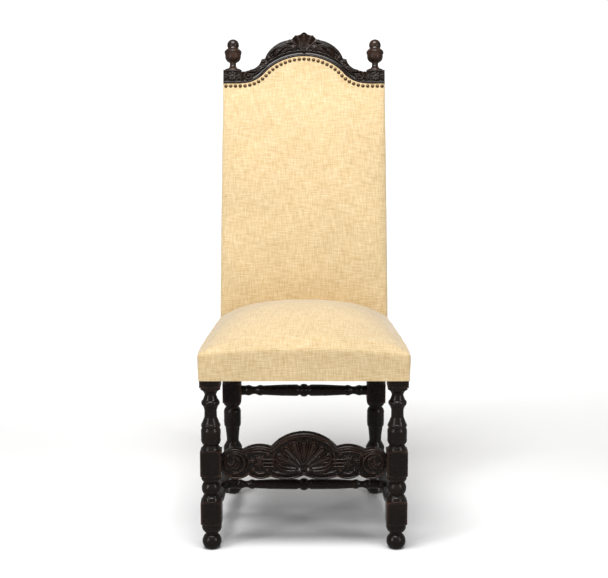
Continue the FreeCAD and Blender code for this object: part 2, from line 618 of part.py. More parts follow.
def seat_rail_across(name, depth, half_length):
    """Straight seat rail across the chair, with a tenon at each end."""
    rail = new_body(name, ("0", f"{depth} - depth_middle", "seat_rail_middle"))
    block(rail, "Additive", "rail", ("0", "0", "0"),
          (f"2 * ({half_length})", "seat_rail_thickness", "seat_rail_height"))
    block(rail, "Additive", "tenons", ("0", "0", "0"),
          (f"2 * ({half_length} + tenon_length)", "tenon_thickness", "rail_tenon_height"))


def side_seat_rail(side_name, side):
    """Side rail of the seat: it converges towards the back, with shoulders square to the legs."""
    rail = new_body("side_seat_rail_" + side_name, ("0", "-depth_middle", "seat_rail_middle"))
    front, rear = "leg_side / 2", "seat_frame_depth - post_side / 2"
    front_outer = f"{side} * (front_leg_spacing / 2 + leg_side / 2)"
    rear_outer = f"{side} * (back_post_spacing / 2 + post_side / 2)"
    inwards = f"{-side} * seat_rail_thickness"
    extrude(rail, "Pad", "rail", outline(rail, "plan", "XY_Plane", (
        (front_outer, front, 0), (rear_outer, rear, 0), (f"{rear_outer} + {inwards}", rear, 0),
        (f"{front_outer} + {inwards}", front, 0),
    )), "seat_rail_height")
    for name, outer, shoulder, way in (("front", front_outer, front, -1),
                                       ("rear", rear_outer, rear, 1)):
        block(rail, "Additive", name + "_tenon",
              (f"{outer} + {inwards} / 2", f"{shoulder} + {way} * tenon_length / 2", "0"),
              ("tenon_thickness", "tenon_length", "rail_tenon_height"))


def triangle_block(name, points):
    """Glued block in a corner of the seat frame, cut to fit round the leg."""
    piece = new_body(name, ("0", "-depth_middle", "seat_rail_middle"))
    corners = [(across, back, 0) for across, back in points]
    extrude(piece, "Pad", "block", outline(piece, "plan", "XY_Plane", corners),
            "corner_block_height")


def side_rail_inside(side, back):
    """How far out the inner face of a side seat rail lies, at a distance back."""
    run = "(seat_frame_depth - post_side / 2 - leg_side / 2)"
    taper = f"(side_convergence + leg_side / 2 - post_side / 2) / {run}"
    return (f"{side} * (front_leg_spacing / 2 + leg_side / 2 - seat_rail_thickness"
            f" - {taper} * ({back} - leg_side / 2))")


def corner_blocks(side_name, side):
    """A front and a rear corner block on one side."""
    front_face = "(seat_rail_thickness - leg_side / 2)"
    leg_inside = "(front_leg_spacing / 2 - leg_side / 2 - cloth_gap)"
    leg_back = "(leg_side / 2 + cloth_gap)"
    far = f"({front_face} + corner_block_reach)"
    triangle_block("corner_block_front_" + side_name, (
        (f"{side} * ({leg_inside} - corner_block_reach)", front_face),
        (f"{side} * {leg_inside}", front_face), (f"{side} * {leg_inside}", leg_back),
        (side_rail_inside(side, leg_back), leg_back), (side_rail_inside(side, far), far),
    ))
    rear_face = "(seat_frame_depth - seat_rail_thickness / 2)"
    post_inside = "(back_post_spacing / 2 - post_side / 2 - cloth_gap)"
    post_front = "(seat_frame_depth - post_side / 2 - cloth_gap)"
    near = f"({rear_face} - corner_block_reach)"
    triangle_block("corner_block_rear_" + side_name, (
        (f"{side} * ({post_inside} - corner_block_reach)", rear_face),
        (f"{side} * {post_inside}", rear_face), (f"{side} * {post_inside}", post_front),
        (side_rail_inside(side, post_front), post_front), (side_rail_inside(side, near), near),
    ))


def both_halves(shares, half_length, rise, drop="0"):
    """Corners of an outline that is the same on both sides, from the shares of its right half."""
    right = [(f"{half_length} * {across}", f"{rise} * {up} - {drop}", bulge)
             for across, up, bulge in shares]
    left = [(f"-({across})", up, shares[index - 1][2] if index else 0)
            for index, (across, up, bulge) in reversed(list(enumerate(right)))]
    if shares[0][0] == 0:
        left.pop()
    return right + left


def other_side(corners):
    """The same outline on the other side of the middle."""
    bulges = [bulge for across, up, bulge in corners]
    return [(f"-({across})", up, bulges[index - 1])
            for index, (across, up, bulge) in reversed(list(enumerate(corners)))]


def relief(body, name, corners, ground, height, across="0", up="0", angle="0"):
    """Carved form raised from a ground: its outline is moved and turned in the ground's plane."""
    sketch = outline(body, name + "_outline", "XZ_Plane", corners)
    bind(sketch, AttachmentOffset__Base__x=across, AttachmentOffset__Base__y=up,
         AttachmentOffset__Base__z=ground)
    turn(sketch, Vector(0, 0, 1), angle, "AttachmentOffset")
    return extrude(body, "Pad", name, sketch, height, False)


def shell(body, spread, count, radius, lobe_radius, ground, height):
    """Fan of lobes with rounded tips, about the body's own origin."""
    tip, root = f"({radius} - {lobe_radius})", f"({lobe_radius} * 1.3)"
    narrow = f"({lobe_radius} * 0.3)"
    lobe = relief(body, "lobe", [
        (f"-{narrow}", root, 0), (narrow, root, 0), (lobe_radius, tip, 1), (f"-{lobe_radius}", tip, 0),
    ], ground, height, angle=f"({spread}) / 2")
    document.recompute()
    fan = body.newObject("PartDesign::PolarPattern", "shell")
    fan.Originals = [lobe]
    axis = next(item for item in body.Origin.OriginFeatures if item.Role == "Y_Axis")
    fan.Axis = (axis, [""])
    fan.Occurrences = count
    bind(fan, Angle=spread)
    body.Tip = fan


def leaves(body, ground, height, size, shares, half, rise, drop="0"):
    """Leaves between two arcs on both sides, leaning in the plane of the board."""
    for across, up, long, wide, lean in shares:
        tip = f"({size}) * {long / 2}"
        for side in (-1, 1):
            relief(body, "leaf", [("0", f"-{tip}", wide / long), ("0", tip, wide / long)], ground,
                   height, f"{half} * {side * across}", f"{rise} * {up} - {drop}", f"{side * lean}")


def bosses(body, ground, height, radius, shares, half, rise, drop="0"):
    """Round bosses with sloping sides, on both sides of the board."""
    for across, up in shares:
        for side in (-1, 1):
            boss = body.newObject("PartDesign::AdditiveCone", "boss")
            bind(boss, Radius1=radius, Radius2=f"{radius} * 0.55", Height=height)
            place(boss, (f"{half} * {side * across}", f"-{ground}", f"{rise} * {up} - {drop}"))
            turn(boss, Vector(1, 0, 0), "90")


def sunk_field(board, name, corners):
    """Part of the carved stretcher's face cut back to the ground of its carving."""
    sketch = outline(board, name + "_outline", "XZ_Plane", corners)
    bind(sketch, AttachmentOffset__Base__z="carved_ground")
    return extrude(board, "Pocket", name, sketch, "carved_relief + cut_overrun", False, True)


def front_stretcher():
    """Carved board between the front legs: arches above, scallops below, a shell in the middle."""
    board = new_body("front_stretcher",
                     ("0", "-depth_middle", "middle_block_middle - carved_hinge_drop"))
    half, rise = "carved_half_length", "carved_arch_rise"
    ground, height = "carved_ground", "carved_relief"
    extrude(board, "Pad", "board", outline(board, "board_outline", "XZ_Plane",
            both_halves(CARVED_BOARD_SHARES, half, rise)), "carved_board_thickness")
    block(board, "Additive", "tenons", ("0", "0", "carved_hinge_drop"),
          (f"2 * ({half} + tenon_length)", "tenon_thickness", "carved_tenon_height"))
    sunk_field(board, "middle_field", both_halves(MIDDLE_FIELD_SHARES, half, rise))
    field = [(f"{half} * {across}", f"{rise} * {up}", bulge)
             for across, up, bulge in SIDE_FIELD_SHARES]
    sunk_field(board, "right_field", field)
    sunk_field(board, "left_field", other_side(field))
    across, up = ROUNDEL_SHARES
    for side in (-1, 1):
        middle = f"{half} * {side * across}", f"{rise} * {up}"
        well = board.newObject("PartDesign::SubtractiveCylinder", "roundel")
        bind(well, Radius="carved_roundel_radius", Height=f"{height} + cut_overrun")
        place(well, (middle[0], f"-{ground}", middle[1]))
        turn(well, Vector(1, 0, 0), "90")
        reach = "carved_roundel_radius * 0.86"
        relief(board, "crescent", [("0", f"-{reach}", 1), ("0", reach, -0.7)], ground, height,
               *middle, f"{-90 - 30 * side}")
    shell(board, "shell_spread", 9, "shell_radius", "shell_lobe_radius", ground, f"{height} * 0.9")
    bosses(board, ground, height, "carved_boss_radius", CARVED_BOSS_SHARES, half, rise)
    leaves(board, ground, f"{height} * 0.8", "shell_radius", CARVED_LEAF_SHARES, half, rise)


def ogee(half, rise, shift):
    """The crest's lower edge from left to right, moved out from the cloth by a shift."""
    slant = f"({shift}) * {OGEE_SLANT:.4f}"
    across = f"({half} * {OGEE_ACROSS_SHARE} + {slant})"
    up = f"{rise} * {OGEE_UP_SHARE} + {slant}"
    return [
        (f"-({half})", shift, OGEE_HOLLOW_BULGE), (f"-{across}", up, -OGEE_ARCH_BULGE),
        ("0", f"{rise} + {shift}", -OGEE_ARCH_BULGE), (across, up, OGEE_HOLLOW_BULGE),
        (half, shift, 0),
    ]


def ogee_back(half, rise, shift):
    """The same edge from right to left."""
    path = ogee(half, rise, shift)
    bulges = [0] + [-bulge for across, up, bulge in path[:-1]]
    return [(across, up, bulge) for (across, up, _), bulge in reversed(list(zip(path, bulges)))]


def risen(corners, drop):
    """The same corners measured from a point that much higher."""
    return [(across, f"{up} - {drop}", bulge) for across, up, bulge in corners]


def crest_layer(crest, kind, name, corners, rear, length):
    """Part of the crest from a distance behind the post's middle, forwards by a length."""
    sketch = outline(crest, name + "_outline", "XZ_Plane", risen(corners, "crest_shell_rise"))
    bind(sketch, AttachmentOffset__Base__z=f"-({rear})")
    return extrude(crest, kind, name, sketch, length, False, kind == "Pocket")


def crest_rail():
    """Arched crest: a carved board over a hollow band with a lip, and a strip for the tacks."""
    crest = new_raked_body("crest_rail", "back_height + crest_shell_rise")
    half, rise, high = "crest_half_length", "crest_arch_rise", "crest_top_rise"
    under = ogee(half, rise, "-tacking_strip")
    under[0] = (under[0][0], "0", under[0][2])
    under[-1] = (under[-1][0], "0", under[-1][2])
    crest_layer(crest, "Pad", "board", under + both_halves(CREST_TOP_SHARES, half, high),
                "post_side / 2", "post_side / 2 + post_face")
    crest_layer(crest, "Pad", "band", ogee(half, rise, "0") + ogee_back(half, rise, "crest_band"),
                "-post_face", "crest_relief / 2")
    crest_layer(crest, "Pad", "lip", ogee(half, rise, "0") + ogee_back(half, rise, "crest_lip"),
                "-post_face", "crest_relief")
    block(crest, "Additive", "tenons", ("0", "0", "crest_tenon_rise - crest_shell_rise"),
          (f"2 * ({half} + tenon_length)", "tenon_thickness", "crest_tenon_height"))
    above = [(half, "crest_band", 0), (half, f"{high} * 1.2", 0), (f"-{half}", f"{high} * 1.2", 0)]
    crest_layer(crest, "Pocket", "thinned_rear", ogee(half, rise, "crest_band")[:-1] + above,
                "post_side / 2 + cut_overrun",
                "post_side / 2 + post_face - crest_thickness + cut_overrun")
    shell(crest, "crest_shell_spread", 5, f"({high} - crest_shell_rise)", "crest_shell_lobe_radius",
          "post_face", "crest_relief * 0.8")
    bosses(crest, "post_face", "crest_relief * 0.8", "crest_boss_radius", CREST_BOSS_SHARES, half,
           high, "crest_shell_rise")
    leaves(crest, "post_face", "crest_relief * 0.6", f"{high} - crest_shell_rise",
           CREST_LEAF_SHARES, half, high, "crest_shell_rise")


def rosette(post):
    """Round boss carved on the front of a post's top block."""
    across, up = raked("-post_side / 2", "back_height + top_block_height / 2")
    feature = post.newObject("PartDesign::AdditiveCone", "rosette")
    bind(feature, Radius1="rosette_radius", Radius2="rosette_radius * 0.7",
         Height="rosette_radius * 0.3")
    place(feature, ("0", across, up))
    turn(feature, Vector(1, 0, 0), "90 - rake_angle")


def back_rail():
    """Lower rail of the back, flush with the upholstered faces of the posts."""
    rail = new_raked_body("back_lower_rail", "back_rail_middle")
    half = "(back_post_spacing / 2 - post_top_side / 2)"
    block(rail, "Additive", "rail", ("0", "seat_rail_thickness / 2 - post_face", "0"),
          (f"2 * {half}", "seat_rail_thickness", "back_rail_height"))
    block(rail, "Additive", "tenons", ("0", "0", "0"),
          (f"2 * ({half} + tenon_length - post_cheek)", "tenon_thickness", "back_rail_tenon_height"))


def strips(name, raked_body, boxes):
    """Strips of webbing, each a box of its own, as one group."""
    group = []
    for index, (middle, lengths) in enumerate(boxes):
        strip = document.addObject("Part::Box", f"{name}_strip")
        bind(strip, Length=lengths[0], Width=lengths[1], Height=lengths[2])
        place(strip, [f"{point} - ({length}) / 2" for point, length in zip(middle, lengths)])
        group.append(strip)
    node = document.addObject("Part::Compound", name)
    node.Label = name
    node.Links = group
    if raked_body:
        place(node, ("0", "seat_frame_depth - depth_middle", "post_upper_bend"))
        turn(node, Vector(-1, 0, 0), "rake_angle")
    else:
        place(node, ("0", "-depth_middle", "0"))
    pieces.append(node)


def webbing():
    """Webbing of the seat and of the back, in two layers each."""
    seat_width = "(front_leg_spacing + leg_side)"
    seat_depth = "(seat_frame_depth + leg_side / 2 + seat_rail_thickness / 2)"
    middle = "(seat_frame_depth + seat_rail_thickness / 2 - leg_side / 2) / 2"
    size = "webbing_thickness"
    level = "seat_rail_top + webbing_thickness / 2"
    strips("seat_webbing_across", False, [
        (("0", f"{seat_depth} * {share}", level),
         (f"{seat_width} * {1 - 0.12 * share} * 0.95", "webbing_width", size))
        for share in (0.17, 0.34, 0.51, 0.68)])
    strips("seat_webbing_along", False, [
        ((f"{seat_width} * {share}", middle, f"{level} + webbing_thickness"),
         ("webbing_width", f"{seat_depth} - 2 * cut_overrun", size))
        for share in (-0.26, -0.087, 0.087, 0.26)])
    face = "-post_face - webbing_thickness / 2"
    strips("back_webbing_across", True, [
        (("0", face, f"back_height * {share}"),
         ("back_post_spacing + post_top_side * 0.8", size, "webbing_width"))
        for share in (0.2, 0.36, 0.52, 0.68)])
    foot, head = "back_rail_rise + cut_overrun", "(back_height + crest_arch_rise - tacking_strip)"
    strips("back_webbing_along", True, [
        ((f"back_post_spacing * {share}", f"{face} - webbing_thickness",
          f"({foot} + {head} + webbing_width * {reach}) / 2"),
         ("webbing_width", size, f"{head} + webbing_width * {reach} - ({foot})"))
        for share, reach in ((-0.2, -0.6), (0, 0.2), (0.2, -0.6))])


def seat_plan(inset, front, rear):
    """Half the plan of the seat frame, drawn in by an inset."""
    wide = f"(front_leg_spacing / 2 + leg_side / 2 - {inset})"
    narrow = f"(back_post_spacing / 2 + post_side / 2 - {inset})"
    return ((wide, front), (wide, "leg_side / 2"), (narrow, "seat_frame_depth - post_side / 2"),
            (narrow, rear))


def whole_plan(points):
    """Corners of a plan that is the same on both sides."""
    right = [(across, back, 0) for across, back in points]
    return right + [(f"-({across})", back, 0) for across, back, _ in reversed(right)]


def sheet_piece(name, level, thickness, points):
    """Flat cloth at a level."""
    cloth = new_body(name, ("0", "-depth_middle", level))
    extrude(cloth, "Pad", "cloth", outline(cloth, "plan", "XY_Plane", whole_plan(points)),
            thickness, False)


def base_cloths():
    """Hessian over the webbing of the seat and back, and the dust cover under the seat."""
    inside = "(back_post_spacing / 2 - post_side / 2 - cloth_gap)"
    post_front = "seat_frame_depth - post_side / 2 - cloth_gap"
    tail = "seat_frame_depth + seat_rail_thickness / 2 - cut_overrun"
    plan = seat_plan("seat_edge_radius", "seat_edge_radius - leg_side / 2", post_front)
    sheet_piece("seat_hessian", "webbing_top", "hessian_thickness",
                plan[:3] + ((inside, post_front), (inside, tail)))
    front = "cut_overrun - leg_side / 2"
    leg_inside = "(front_leg_spacing / 2 - leg_side / 2 - cloth_gap)"
    wide = "(front_leg_spacing / 2 + leg_side / 2 - cut_overrun)"
    narrow = "(back_post_spacing / 2 + post_side / 2 - cut_overrun)"
    leg_back = "leg_side / 2 + cloth_gap"
    sheet_piece("dust_cover", "seat_rail_foot - hessian_thickness", "hessian_thickness", (
        (leg_inside, front), (leg_inside, leg_back), (wide, leg_back), (narrow, post_front),
        (inside, post_front), (inside, tail)))
    cloth = new_raked_body("back_hessian", "0", "-post_face - 2 * webbing_thickness")
    wide, head = "(back_post_spacing / 2 + post_top_side / 2 - cut_overrun)", "-cut_overrun"
    arch = ogee_back("crest_half_length", "crest_arch_rise", head)
    corners = [(f"-{wide}", "back_rail_rise", 0), (wide, "back_rail_rise", 0)]
    corners += [(across, f"back_height + {up}", bulge)
                for across, up, bulge in [(wide, head, 0)] + arch + [(f"-{wide}", head, 0)]]
    extrude(cloth, "Pad", "cloth", outline(cloth, "elevation", "XZ_Plane", corners),
            "hessian_thickness", False)


def loft(body, kind, name, sections):
    """Loft through sketches in order, straight between them."""
    feature = body.newObject(f"PartDesign::{kind}Loft", name)
    feature.Profile = sections[0]
    feature.Sections = sections[1:]
    feature.Ruled = True
    return feature


def seat_sections(body, prefix, inset, foot):
    """Cross sections of the seat from front to back, drawn in by an inset, from a foot level up."""
    length = "(seat_rear - seat_front)"
    rows = [(0, 0, 0.12, "seat_nose")] + [share + ("0",) for share in SEAT_SHARES]
    sections = []
    for index, (along, climb, crown, nose) in enumerate(rows):
        back = f"(seat_front + {length} * {along})"
        if index == 0:
            back = f"(seat_front + {inset})"
        elif index == len(rows) - 1:
            back = f"(seat_rear - {inset})"
        past = f"max(0; {back} - leg_side / 2)"
        taper = "side_convergence / (seat_frame_depth - post_side / 2 - leg_side / 2)"
        base = (f"(front_leg_spacing / 2 + leg_side / 2 + cloth_gap + cloth_thickness"
                f" - {past} * {taper} - {nose} - {inset})")
        edge = f"(seat_edge_height + seat_edge_climb * {climb} - {nose} - {inset})"
        side_top = f"({edge} - seat_edge_radius)"
        swell = f"(seat_side_swell * ({foot}) / {side_top})"
        wide = f"({base} + seat_side_swell)"
        flat = f"({wide} - seat_edge_radius)"
        corners = [
            (f"-({base} + {swell})", foot, 0), (f"{base} + {swell}", foot, 0),
            (wide, side_top, 0.36), (flat, edge, f"seat_crown * {crown} / {flat}"),
            (f"-{flat}", edge, 0.36), (f"-{wide}", side_top, 0),
        ]
        sketch = outline(body, f"{prefix}_{index}", "XZ_Plane", corners)
        bind(sketch, AttachmentOffset__Base__z=f"-{back}")
        sections.append(sketch)
    return sections


def seat_upholstery():
    """The domed stuffing and the linen over it, down the rails."""
    where = ("0", "-depth_middle", "seat_rail_foot")
    pad = new_body("seat_pad", where)
    loft(pad, "Additive", "dome", seat_sections(pad, "dome", "(cloth_thickness + cloth_gap)",
                                                "seat_skirt_rise"))
    hollow = outline(pad, "frame_plan", "XY_Plane", whole_plan(seat_plan(
        "-cloth_gap", "-leg_side / 2 - cloth_gap", "seat_rear + cut_overrun")))
    extrude(pad, "Pocket", "frame_hollow", hollow, "hessian_top + cloth_gap - seat_rail_foot",
            False, True)
    cover = new_body("seat_cover", where)
    loft(cover, "Additive", "outside", seat_sections(cover, "outside", "0", "0"))
    loft(cover, "Subtractive", "inside", seat_sections(cover, "inside", "cloth_thickness",
                                                       "-cut_overrun"))
    frame_side = "(back_post_spacing / 2 + post_side / 2 + cloth_thickness)"
    block(cover, "Subtractive", "open_rear",
          ("0", "seat_rear - cloth_thickness / 2", "(hessian_top + cloth_gap - seat_rail_foot) / 2"),
          (f"2 * {frame_side}", "cloth_thickness + 2 * cut_overrun",
           "hessian_top + cloth_gap - seat_rail_foot"))
    rear = "(seat_frame_depth + post_side / 2)"
    document.recompute()
    for name, side in (("left_wing", -1), ("right_wing", 1)):
        block(cover, "Additive", name,
              (f"{side} * ({frame_side} + cloth_thickness / 2)",
               f"(seat_rear - cloth_thickness + {rear}) / 2", "seat_rail_height / 2"),
              ("cloth_thickness", f"{rear} - seat_rear + cloth_thickness", "seat_rail_height"))


def back_sections(body, prefix, inset, rear):
    """Cross sections of the back's upholstery from its foot up, drawn in by an inset."""
    rows = list(BACK_SHARES)
    rows += [("thin", 0, 0.02), ("top", 0, 0.02)]
    levels = {"thin": "(back_height - back_pad_taper * 0.2)",
              "top": "(back_height + crest_arch_rise)"}
    sections = []
    for index, (along, edge, crown) in enumerate(rows):
        level = levels.get(along, f"(back_height * {along})")
        if index == 0:
            level = "cloth_gap"
        slack = f"(back_side_swell * (back_height + crest_arch_rise - {level}) / back_height)"
        wide = (f"(back_post_spacing / 2 + post_top_side / 2 + cloth_gap + cloth_thickness"
                f" + {slack} - {inset})")
        thick = f"(back_pad_edge * {edge})"
        front = f"(post_face + back_layers + cloth_gap + cloth_thickness + {thick} - {inset})"
        curve = f"(back_edge_radius * {max(edge, 0.25)})"
        flat = f"({wide} - {curve})"
        corners = [
            (wide, rear, 0), (f"-{wide}", rear, 0), (f"-{wide}", f"-({front} - {curve})", 0.36),
            (f"-{flat}", f"-{front}", f"back_pad_crown * {crown} / {flat}"),
            (flat, f"-{front}", 0.36), (wide, f"-({front} - {curve})", 0),
        ]
        sketch = outline(body, f"{prefix}_{index}", "XY_Plane", corners)
        bind(sketch, AttachmentOffset__Base__z=level)
        sections.append(sketch)
    return sections


def cut_under_crest(body, gap):
    """Trim the upholstery to the crest's lower edge and the blocks."""
    half = "(back_post_spacing / 2 - post_side / 2)"
    arch = ogee(half, "crest_arch_rise", f"-({gap})")
    far, top = "(back_post_spacing)", "(back_height + crest_top_rise)"
    corners = [(f"-{far}", f"back_height - {gap}", 0)]
    corners += [(across, f"back_height + {up}", bulge) for across, up, bulge in arch]
    corners += [(far, f"back_height - {gap}", 0), (far, top, 0), (f"-{far}", top, 0)]
    extrude(body, "Pocket", "trimmed_top", outline(body, "top_edge", "XZ_Plane", corners),
            "4 * post_side")


def back_upholstery():
    """The stuffing of the back, the linen over its front and sides, and the linen behind."""
    pad = new_raked_body("back_pad")
    rear = "-(post_face + back_layers + cloth_gap)"
    loft(pad, "Additive", "stuffing", back_sections(
        pad, "stuffing", "(cloth_thickness + cloth_gap)", rear)[:-2])
    cover = new_raked_body("back_cover")
    loft(cover, "Additive", "outside", back_sections(cover, "outside", "0", "post_side / 2"))
    loft(cover, "Subtractive", "inside", back_sections(
        cover, "inside", "cloth_thickness", "post_side / 2 + cut_overrun"))
    cut_under_crest(cover, "cloth_gap")


def outside_back():
    """Linen over the rear of the back, from the foot of the seat rails up to the crest."""
    cloth = new_body("outside_back_cover", ("0", "seat_frame_depth - depth_middle", "0"))
    near = "(post_side / 2 + cloth_gap)"
    far = "(post_side / 2 + cloth_gap + cloth_thickness)"
    top = "back_height + crest_arch_rise"
    corners = [(near, "seat_rail_foot", 0), (far, "seat_rail_foot", 0)]
    corners += [point + (0,) for point in (mitre(far), raked(far, top), raked(near, top), mitre(near))]
    extrude(cloth, "Pad", "cloth", outline(cloth, "side_view", "YZ_Plane", corners),
            "back_post_spacing + post_top_side")
    half = "(back_post_spacing / 2 - post_side / 2)"
    arch = ogee(half, "crest_arch_rise", "-cloth_gap")
    far_across, high = "back_post_spacing", "(back_height + crest_top_rise)"
    corners = [(f"-{far_across}", "back_height - cloth_gap", 0)]
    corners += [(across, f"back_height + {up}", bulge) for across, up, bulge in arch]
    corners += [(far_across, "back_height - cloth_gap", 0), (far_across, high, 0),
                (f"-{far_across}", high, 0)]
    sketch = outline(cloth, "top_edge", "XZ_Plane", corners)
    bind(sketch, AttachmentOffset__Base__y="post_upper_bend")
    turn(sketch, Vector(1, 0, 0), "-rake_angle", "AttachmentOffset")
    extrude(cloth, "Pocket", "trimmed_top", sketch, "4 * post_side")


def nailheads():
    """A row of domed nail heads on the linen, following the crest's lower edge."""
    half = "(back_post_spacing / 2 - post_side / 2)"
    path = ogee(half, "crest_arch_rise", "-nail_drop")
    end = f"({half} + post_side - 1.5 * nail_radius)"
    path = [(f"-{end}", "-nail_drop", 0)] + path + [(end, "-nail_drop", 0)]
    points = [Vector(value(across), 0, value(up)) for across, up, _ in path]
    edges = []
    for (_, _, bulge), start, finish in zip(path, points, points[1:]):
        chord = finish - start
        if bulge:
            middle = (start + finish) * 0.5 + Vector(chord.z, 0, -chord.x) * (bulge / 2)
            edges.append(Part.Arc(start, middle, finish).toShape())
        else:
            edges.append(Part.makeLine(start, finish))
    row = Part.Wire(edges)
    count = 2 * round(row.Length / value("nail_pitch") / 2) + 1
    radius, height = value("nail_radius"), value("nail_height")
    heads = [Part.makeCone(radius, radius / 2, height, spot, Vector(0, -1, 0))
             for spot in row.discretize(Number=count)]
    node = document.addObject("Part::Feature", "nailheads")
    node.Label = "nailheads"
    node.Shape = Part.makeCompound(heads)
    face = "(post_face + back_layers + cloth_gap + cloth_thickness + back_pad_crown * 0.02)"
    place(node, ("0", f"seat_frame_depth - depth_middle + back_height * sin(rake_angle)"
                      f" - {face} * cos(rake_angle)",
                 f"post_upper_bend + back_height * cos(rake_angle) + {face} * sin(rake_angle)"))
    turn(node, Vector(-1, 0, 0), "rake_angle")
    pieces.append(node)


def check_pieces():
    """Stop where the document couldn't work out an object or a piece isn't one sound shape."""
    for item in document.Objects:
        if "Invalid" in item.State or "Error" in item.State:
            raise RuntimeError(f"{item.Name} failed")
    for piece in pieces:
        if piece.Shape.isNull() or not piece.Shape.isValid():
            raise RuntimeError(f"{piece.Label} isn't a sound solid")


def build_frame():
    """The wooden frame, from the legs up."""
    for side_name, side in (("left", -1), ("right", 1)):
        front_leg(side_name, side)
        back_post(side_name, side)
        finial(side_name, side)
        side_stretcher(side_name, side)
        side_seat_rail(side_name, side)
        corner_blocks(side_name, side)
    seat_rail_across("front_seat_rail", "(seat_rail_thickness / 2 - leg_side / 2)",
                     "front_leg_spacing / 2 - leg_side / 2")
    seat_rail_across("rear_seat_rail", "seat_frame_depth", "back_post_spacing / 2 - post_side / 2")
    turned_rail("medial_stretcher", ("0", "low_socket_depth / 2 - depth_middle", "lower_block_middle"),
                "medial_half_length", "medial_stretcher_radius", MEDIAL_SHARES)
    turned_rail("rear_stretcher", ("0", "rear_socket_depth - depth_middle", "rear_block_middle"),
                "crest_half_length", "rear_stretcher_radius", REAR_STRETCHER_SHARES)
    front_stretcher()
    crest_rail()
    back_rail()


def build_upholstery():
    """What lies on the frame, from the webbing out to the linen and its nails."""
    webbing()
    base_cloths()
    seat_upholstery()
    back_upholstery()
    outside_back()
    nailheads()


def main():
    fill_sheet()
    build_frame()
    build_upholstery()
    document.recompute()
    check_pieces()
    os.makedirs("parts", exist_ok=True)
    for piece in pieces:
        piece.Shape.exportStep(f"parts/{piece.Label}.step")


main()
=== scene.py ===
import math

import bmesh
import bpy
import numpy as np
from mathutils import Matrix, Vector
from mathutils.bvhtree import BVHTree


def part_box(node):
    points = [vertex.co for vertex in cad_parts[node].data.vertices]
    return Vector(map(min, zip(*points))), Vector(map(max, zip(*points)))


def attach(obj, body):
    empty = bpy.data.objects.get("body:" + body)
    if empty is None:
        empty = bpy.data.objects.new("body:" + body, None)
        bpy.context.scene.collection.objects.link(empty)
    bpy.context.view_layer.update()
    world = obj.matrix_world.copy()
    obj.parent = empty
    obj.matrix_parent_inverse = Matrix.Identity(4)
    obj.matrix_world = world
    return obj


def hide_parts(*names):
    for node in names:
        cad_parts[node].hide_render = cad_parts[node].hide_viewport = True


# Looks of a high-back carved side chair: carved boards, linen upholstery, nails, finishes and
# the studio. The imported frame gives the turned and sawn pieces. Lengths are in metres, and
# carving is drawn in millimetres on the face of its board, from the middle and from its foot.

bl_info = {
    "name": "Carved high-back side chair",
    "version": (1, 0, 0),
    "blender": (4, 5, 0),
    "location": "3D View > Sidebar > Chair",
    "description": "Carving, linen, nails, finishes and studio of a carved side chair",
    "category": "Object",
}

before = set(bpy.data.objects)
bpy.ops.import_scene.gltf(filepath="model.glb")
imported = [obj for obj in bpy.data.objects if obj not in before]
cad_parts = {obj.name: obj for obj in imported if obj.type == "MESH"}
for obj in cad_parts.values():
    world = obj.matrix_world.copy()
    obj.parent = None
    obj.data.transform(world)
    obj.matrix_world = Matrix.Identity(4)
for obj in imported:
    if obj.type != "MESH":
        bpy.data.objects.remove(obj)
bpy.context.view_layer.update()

MM = 0.001
WELD = 0.00001
# Height over its surroundings, in millimetres, at which a carved ridge is fully worn.
WORN_PROUD = 0.5
# Angles, in degrees, past which an edge is shaded sharp.
SHARP_ANGLE = 38
CARVED_SHARP_ANGLE = 60

# Places of the chair, from the frame and from the joiner's sizes.
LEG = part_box("front_leg_right")
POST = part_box("back_post_right")
FRONT_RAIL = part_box("front_seat_rail")
REAR_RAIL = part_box("rear_seat_rail")
LEG_SIDE = LEG[1].x - LEG[0].x
POST_SIDE = POST[1].x - POST[0].x
LEG_AXIS = Vector(((LEG[0].x + LEG[1].x) / 2, (LEG[0].y + LEG[1].y) / 2))
POST_ACROSS = (POST[0].x + POST[1].x) / 2
RAIL_FOOT = FRONT_RAIL[0].z
RAIL_TOP = FRONT_RAIL[1].z
POST_DEPTH = (REAR_RAIL[0].y + REAR_RAIL[1].y) / 2
LEG_OUTSIDE = LEG_AXIS.x + LEG_SIDE / 2
LEG_INSIDE = LEG_AXIS.x - LEG_SIDE / 2
LEG_FRONT = LEG_AXIS.y - LEG_SIDE / 2
LEG_REAR = LEG_AXIS.y + LEG_SIDE / 2
POST_OUTSIDE = POST_ACROSS + POST_SIDE / 2
POST_INSIDE = POST_ACROSS - POST_SIDE / 2
POST_FRONT = POST_DEPTH - POST_SIDE / 2
RAKE = math.radians(16.2)
BEND_RISE = 0.010
BACK_HEIGHT = 0.649
POST_CHEEK = 0.002
POST_FACE = 0.018
BACK_LAYERS = 0.0042
CLOTH = 0.0018
GAP = 0.0003

RAKED = (Matrix.Translation((0, POST_DEPTH, RAIL_TOP + BEND_RISE))
         @ Matrix.Rotation(-RAKE, 4, "X"))
CREST_PLACE = RAKED @ Matrix.Translation((0, 0, BACK_HEIGHT))
STRETCHER_HINGE_DROP = 0.015
STRETCHER_BLOCK_MIDDLE = 0.218
STRETCHER_PLACE = Matrix.Translation((0, LEG_AXIS.y, STRETCHER_BLOCK_MIDDLE
                                      - STRETCHER_HINGE_DROP))


# Shapes shared by the pieces.

def settings(group):
    """The values that the user can change in the sidebar."""
    return getattr(bpy.context.scene, group)


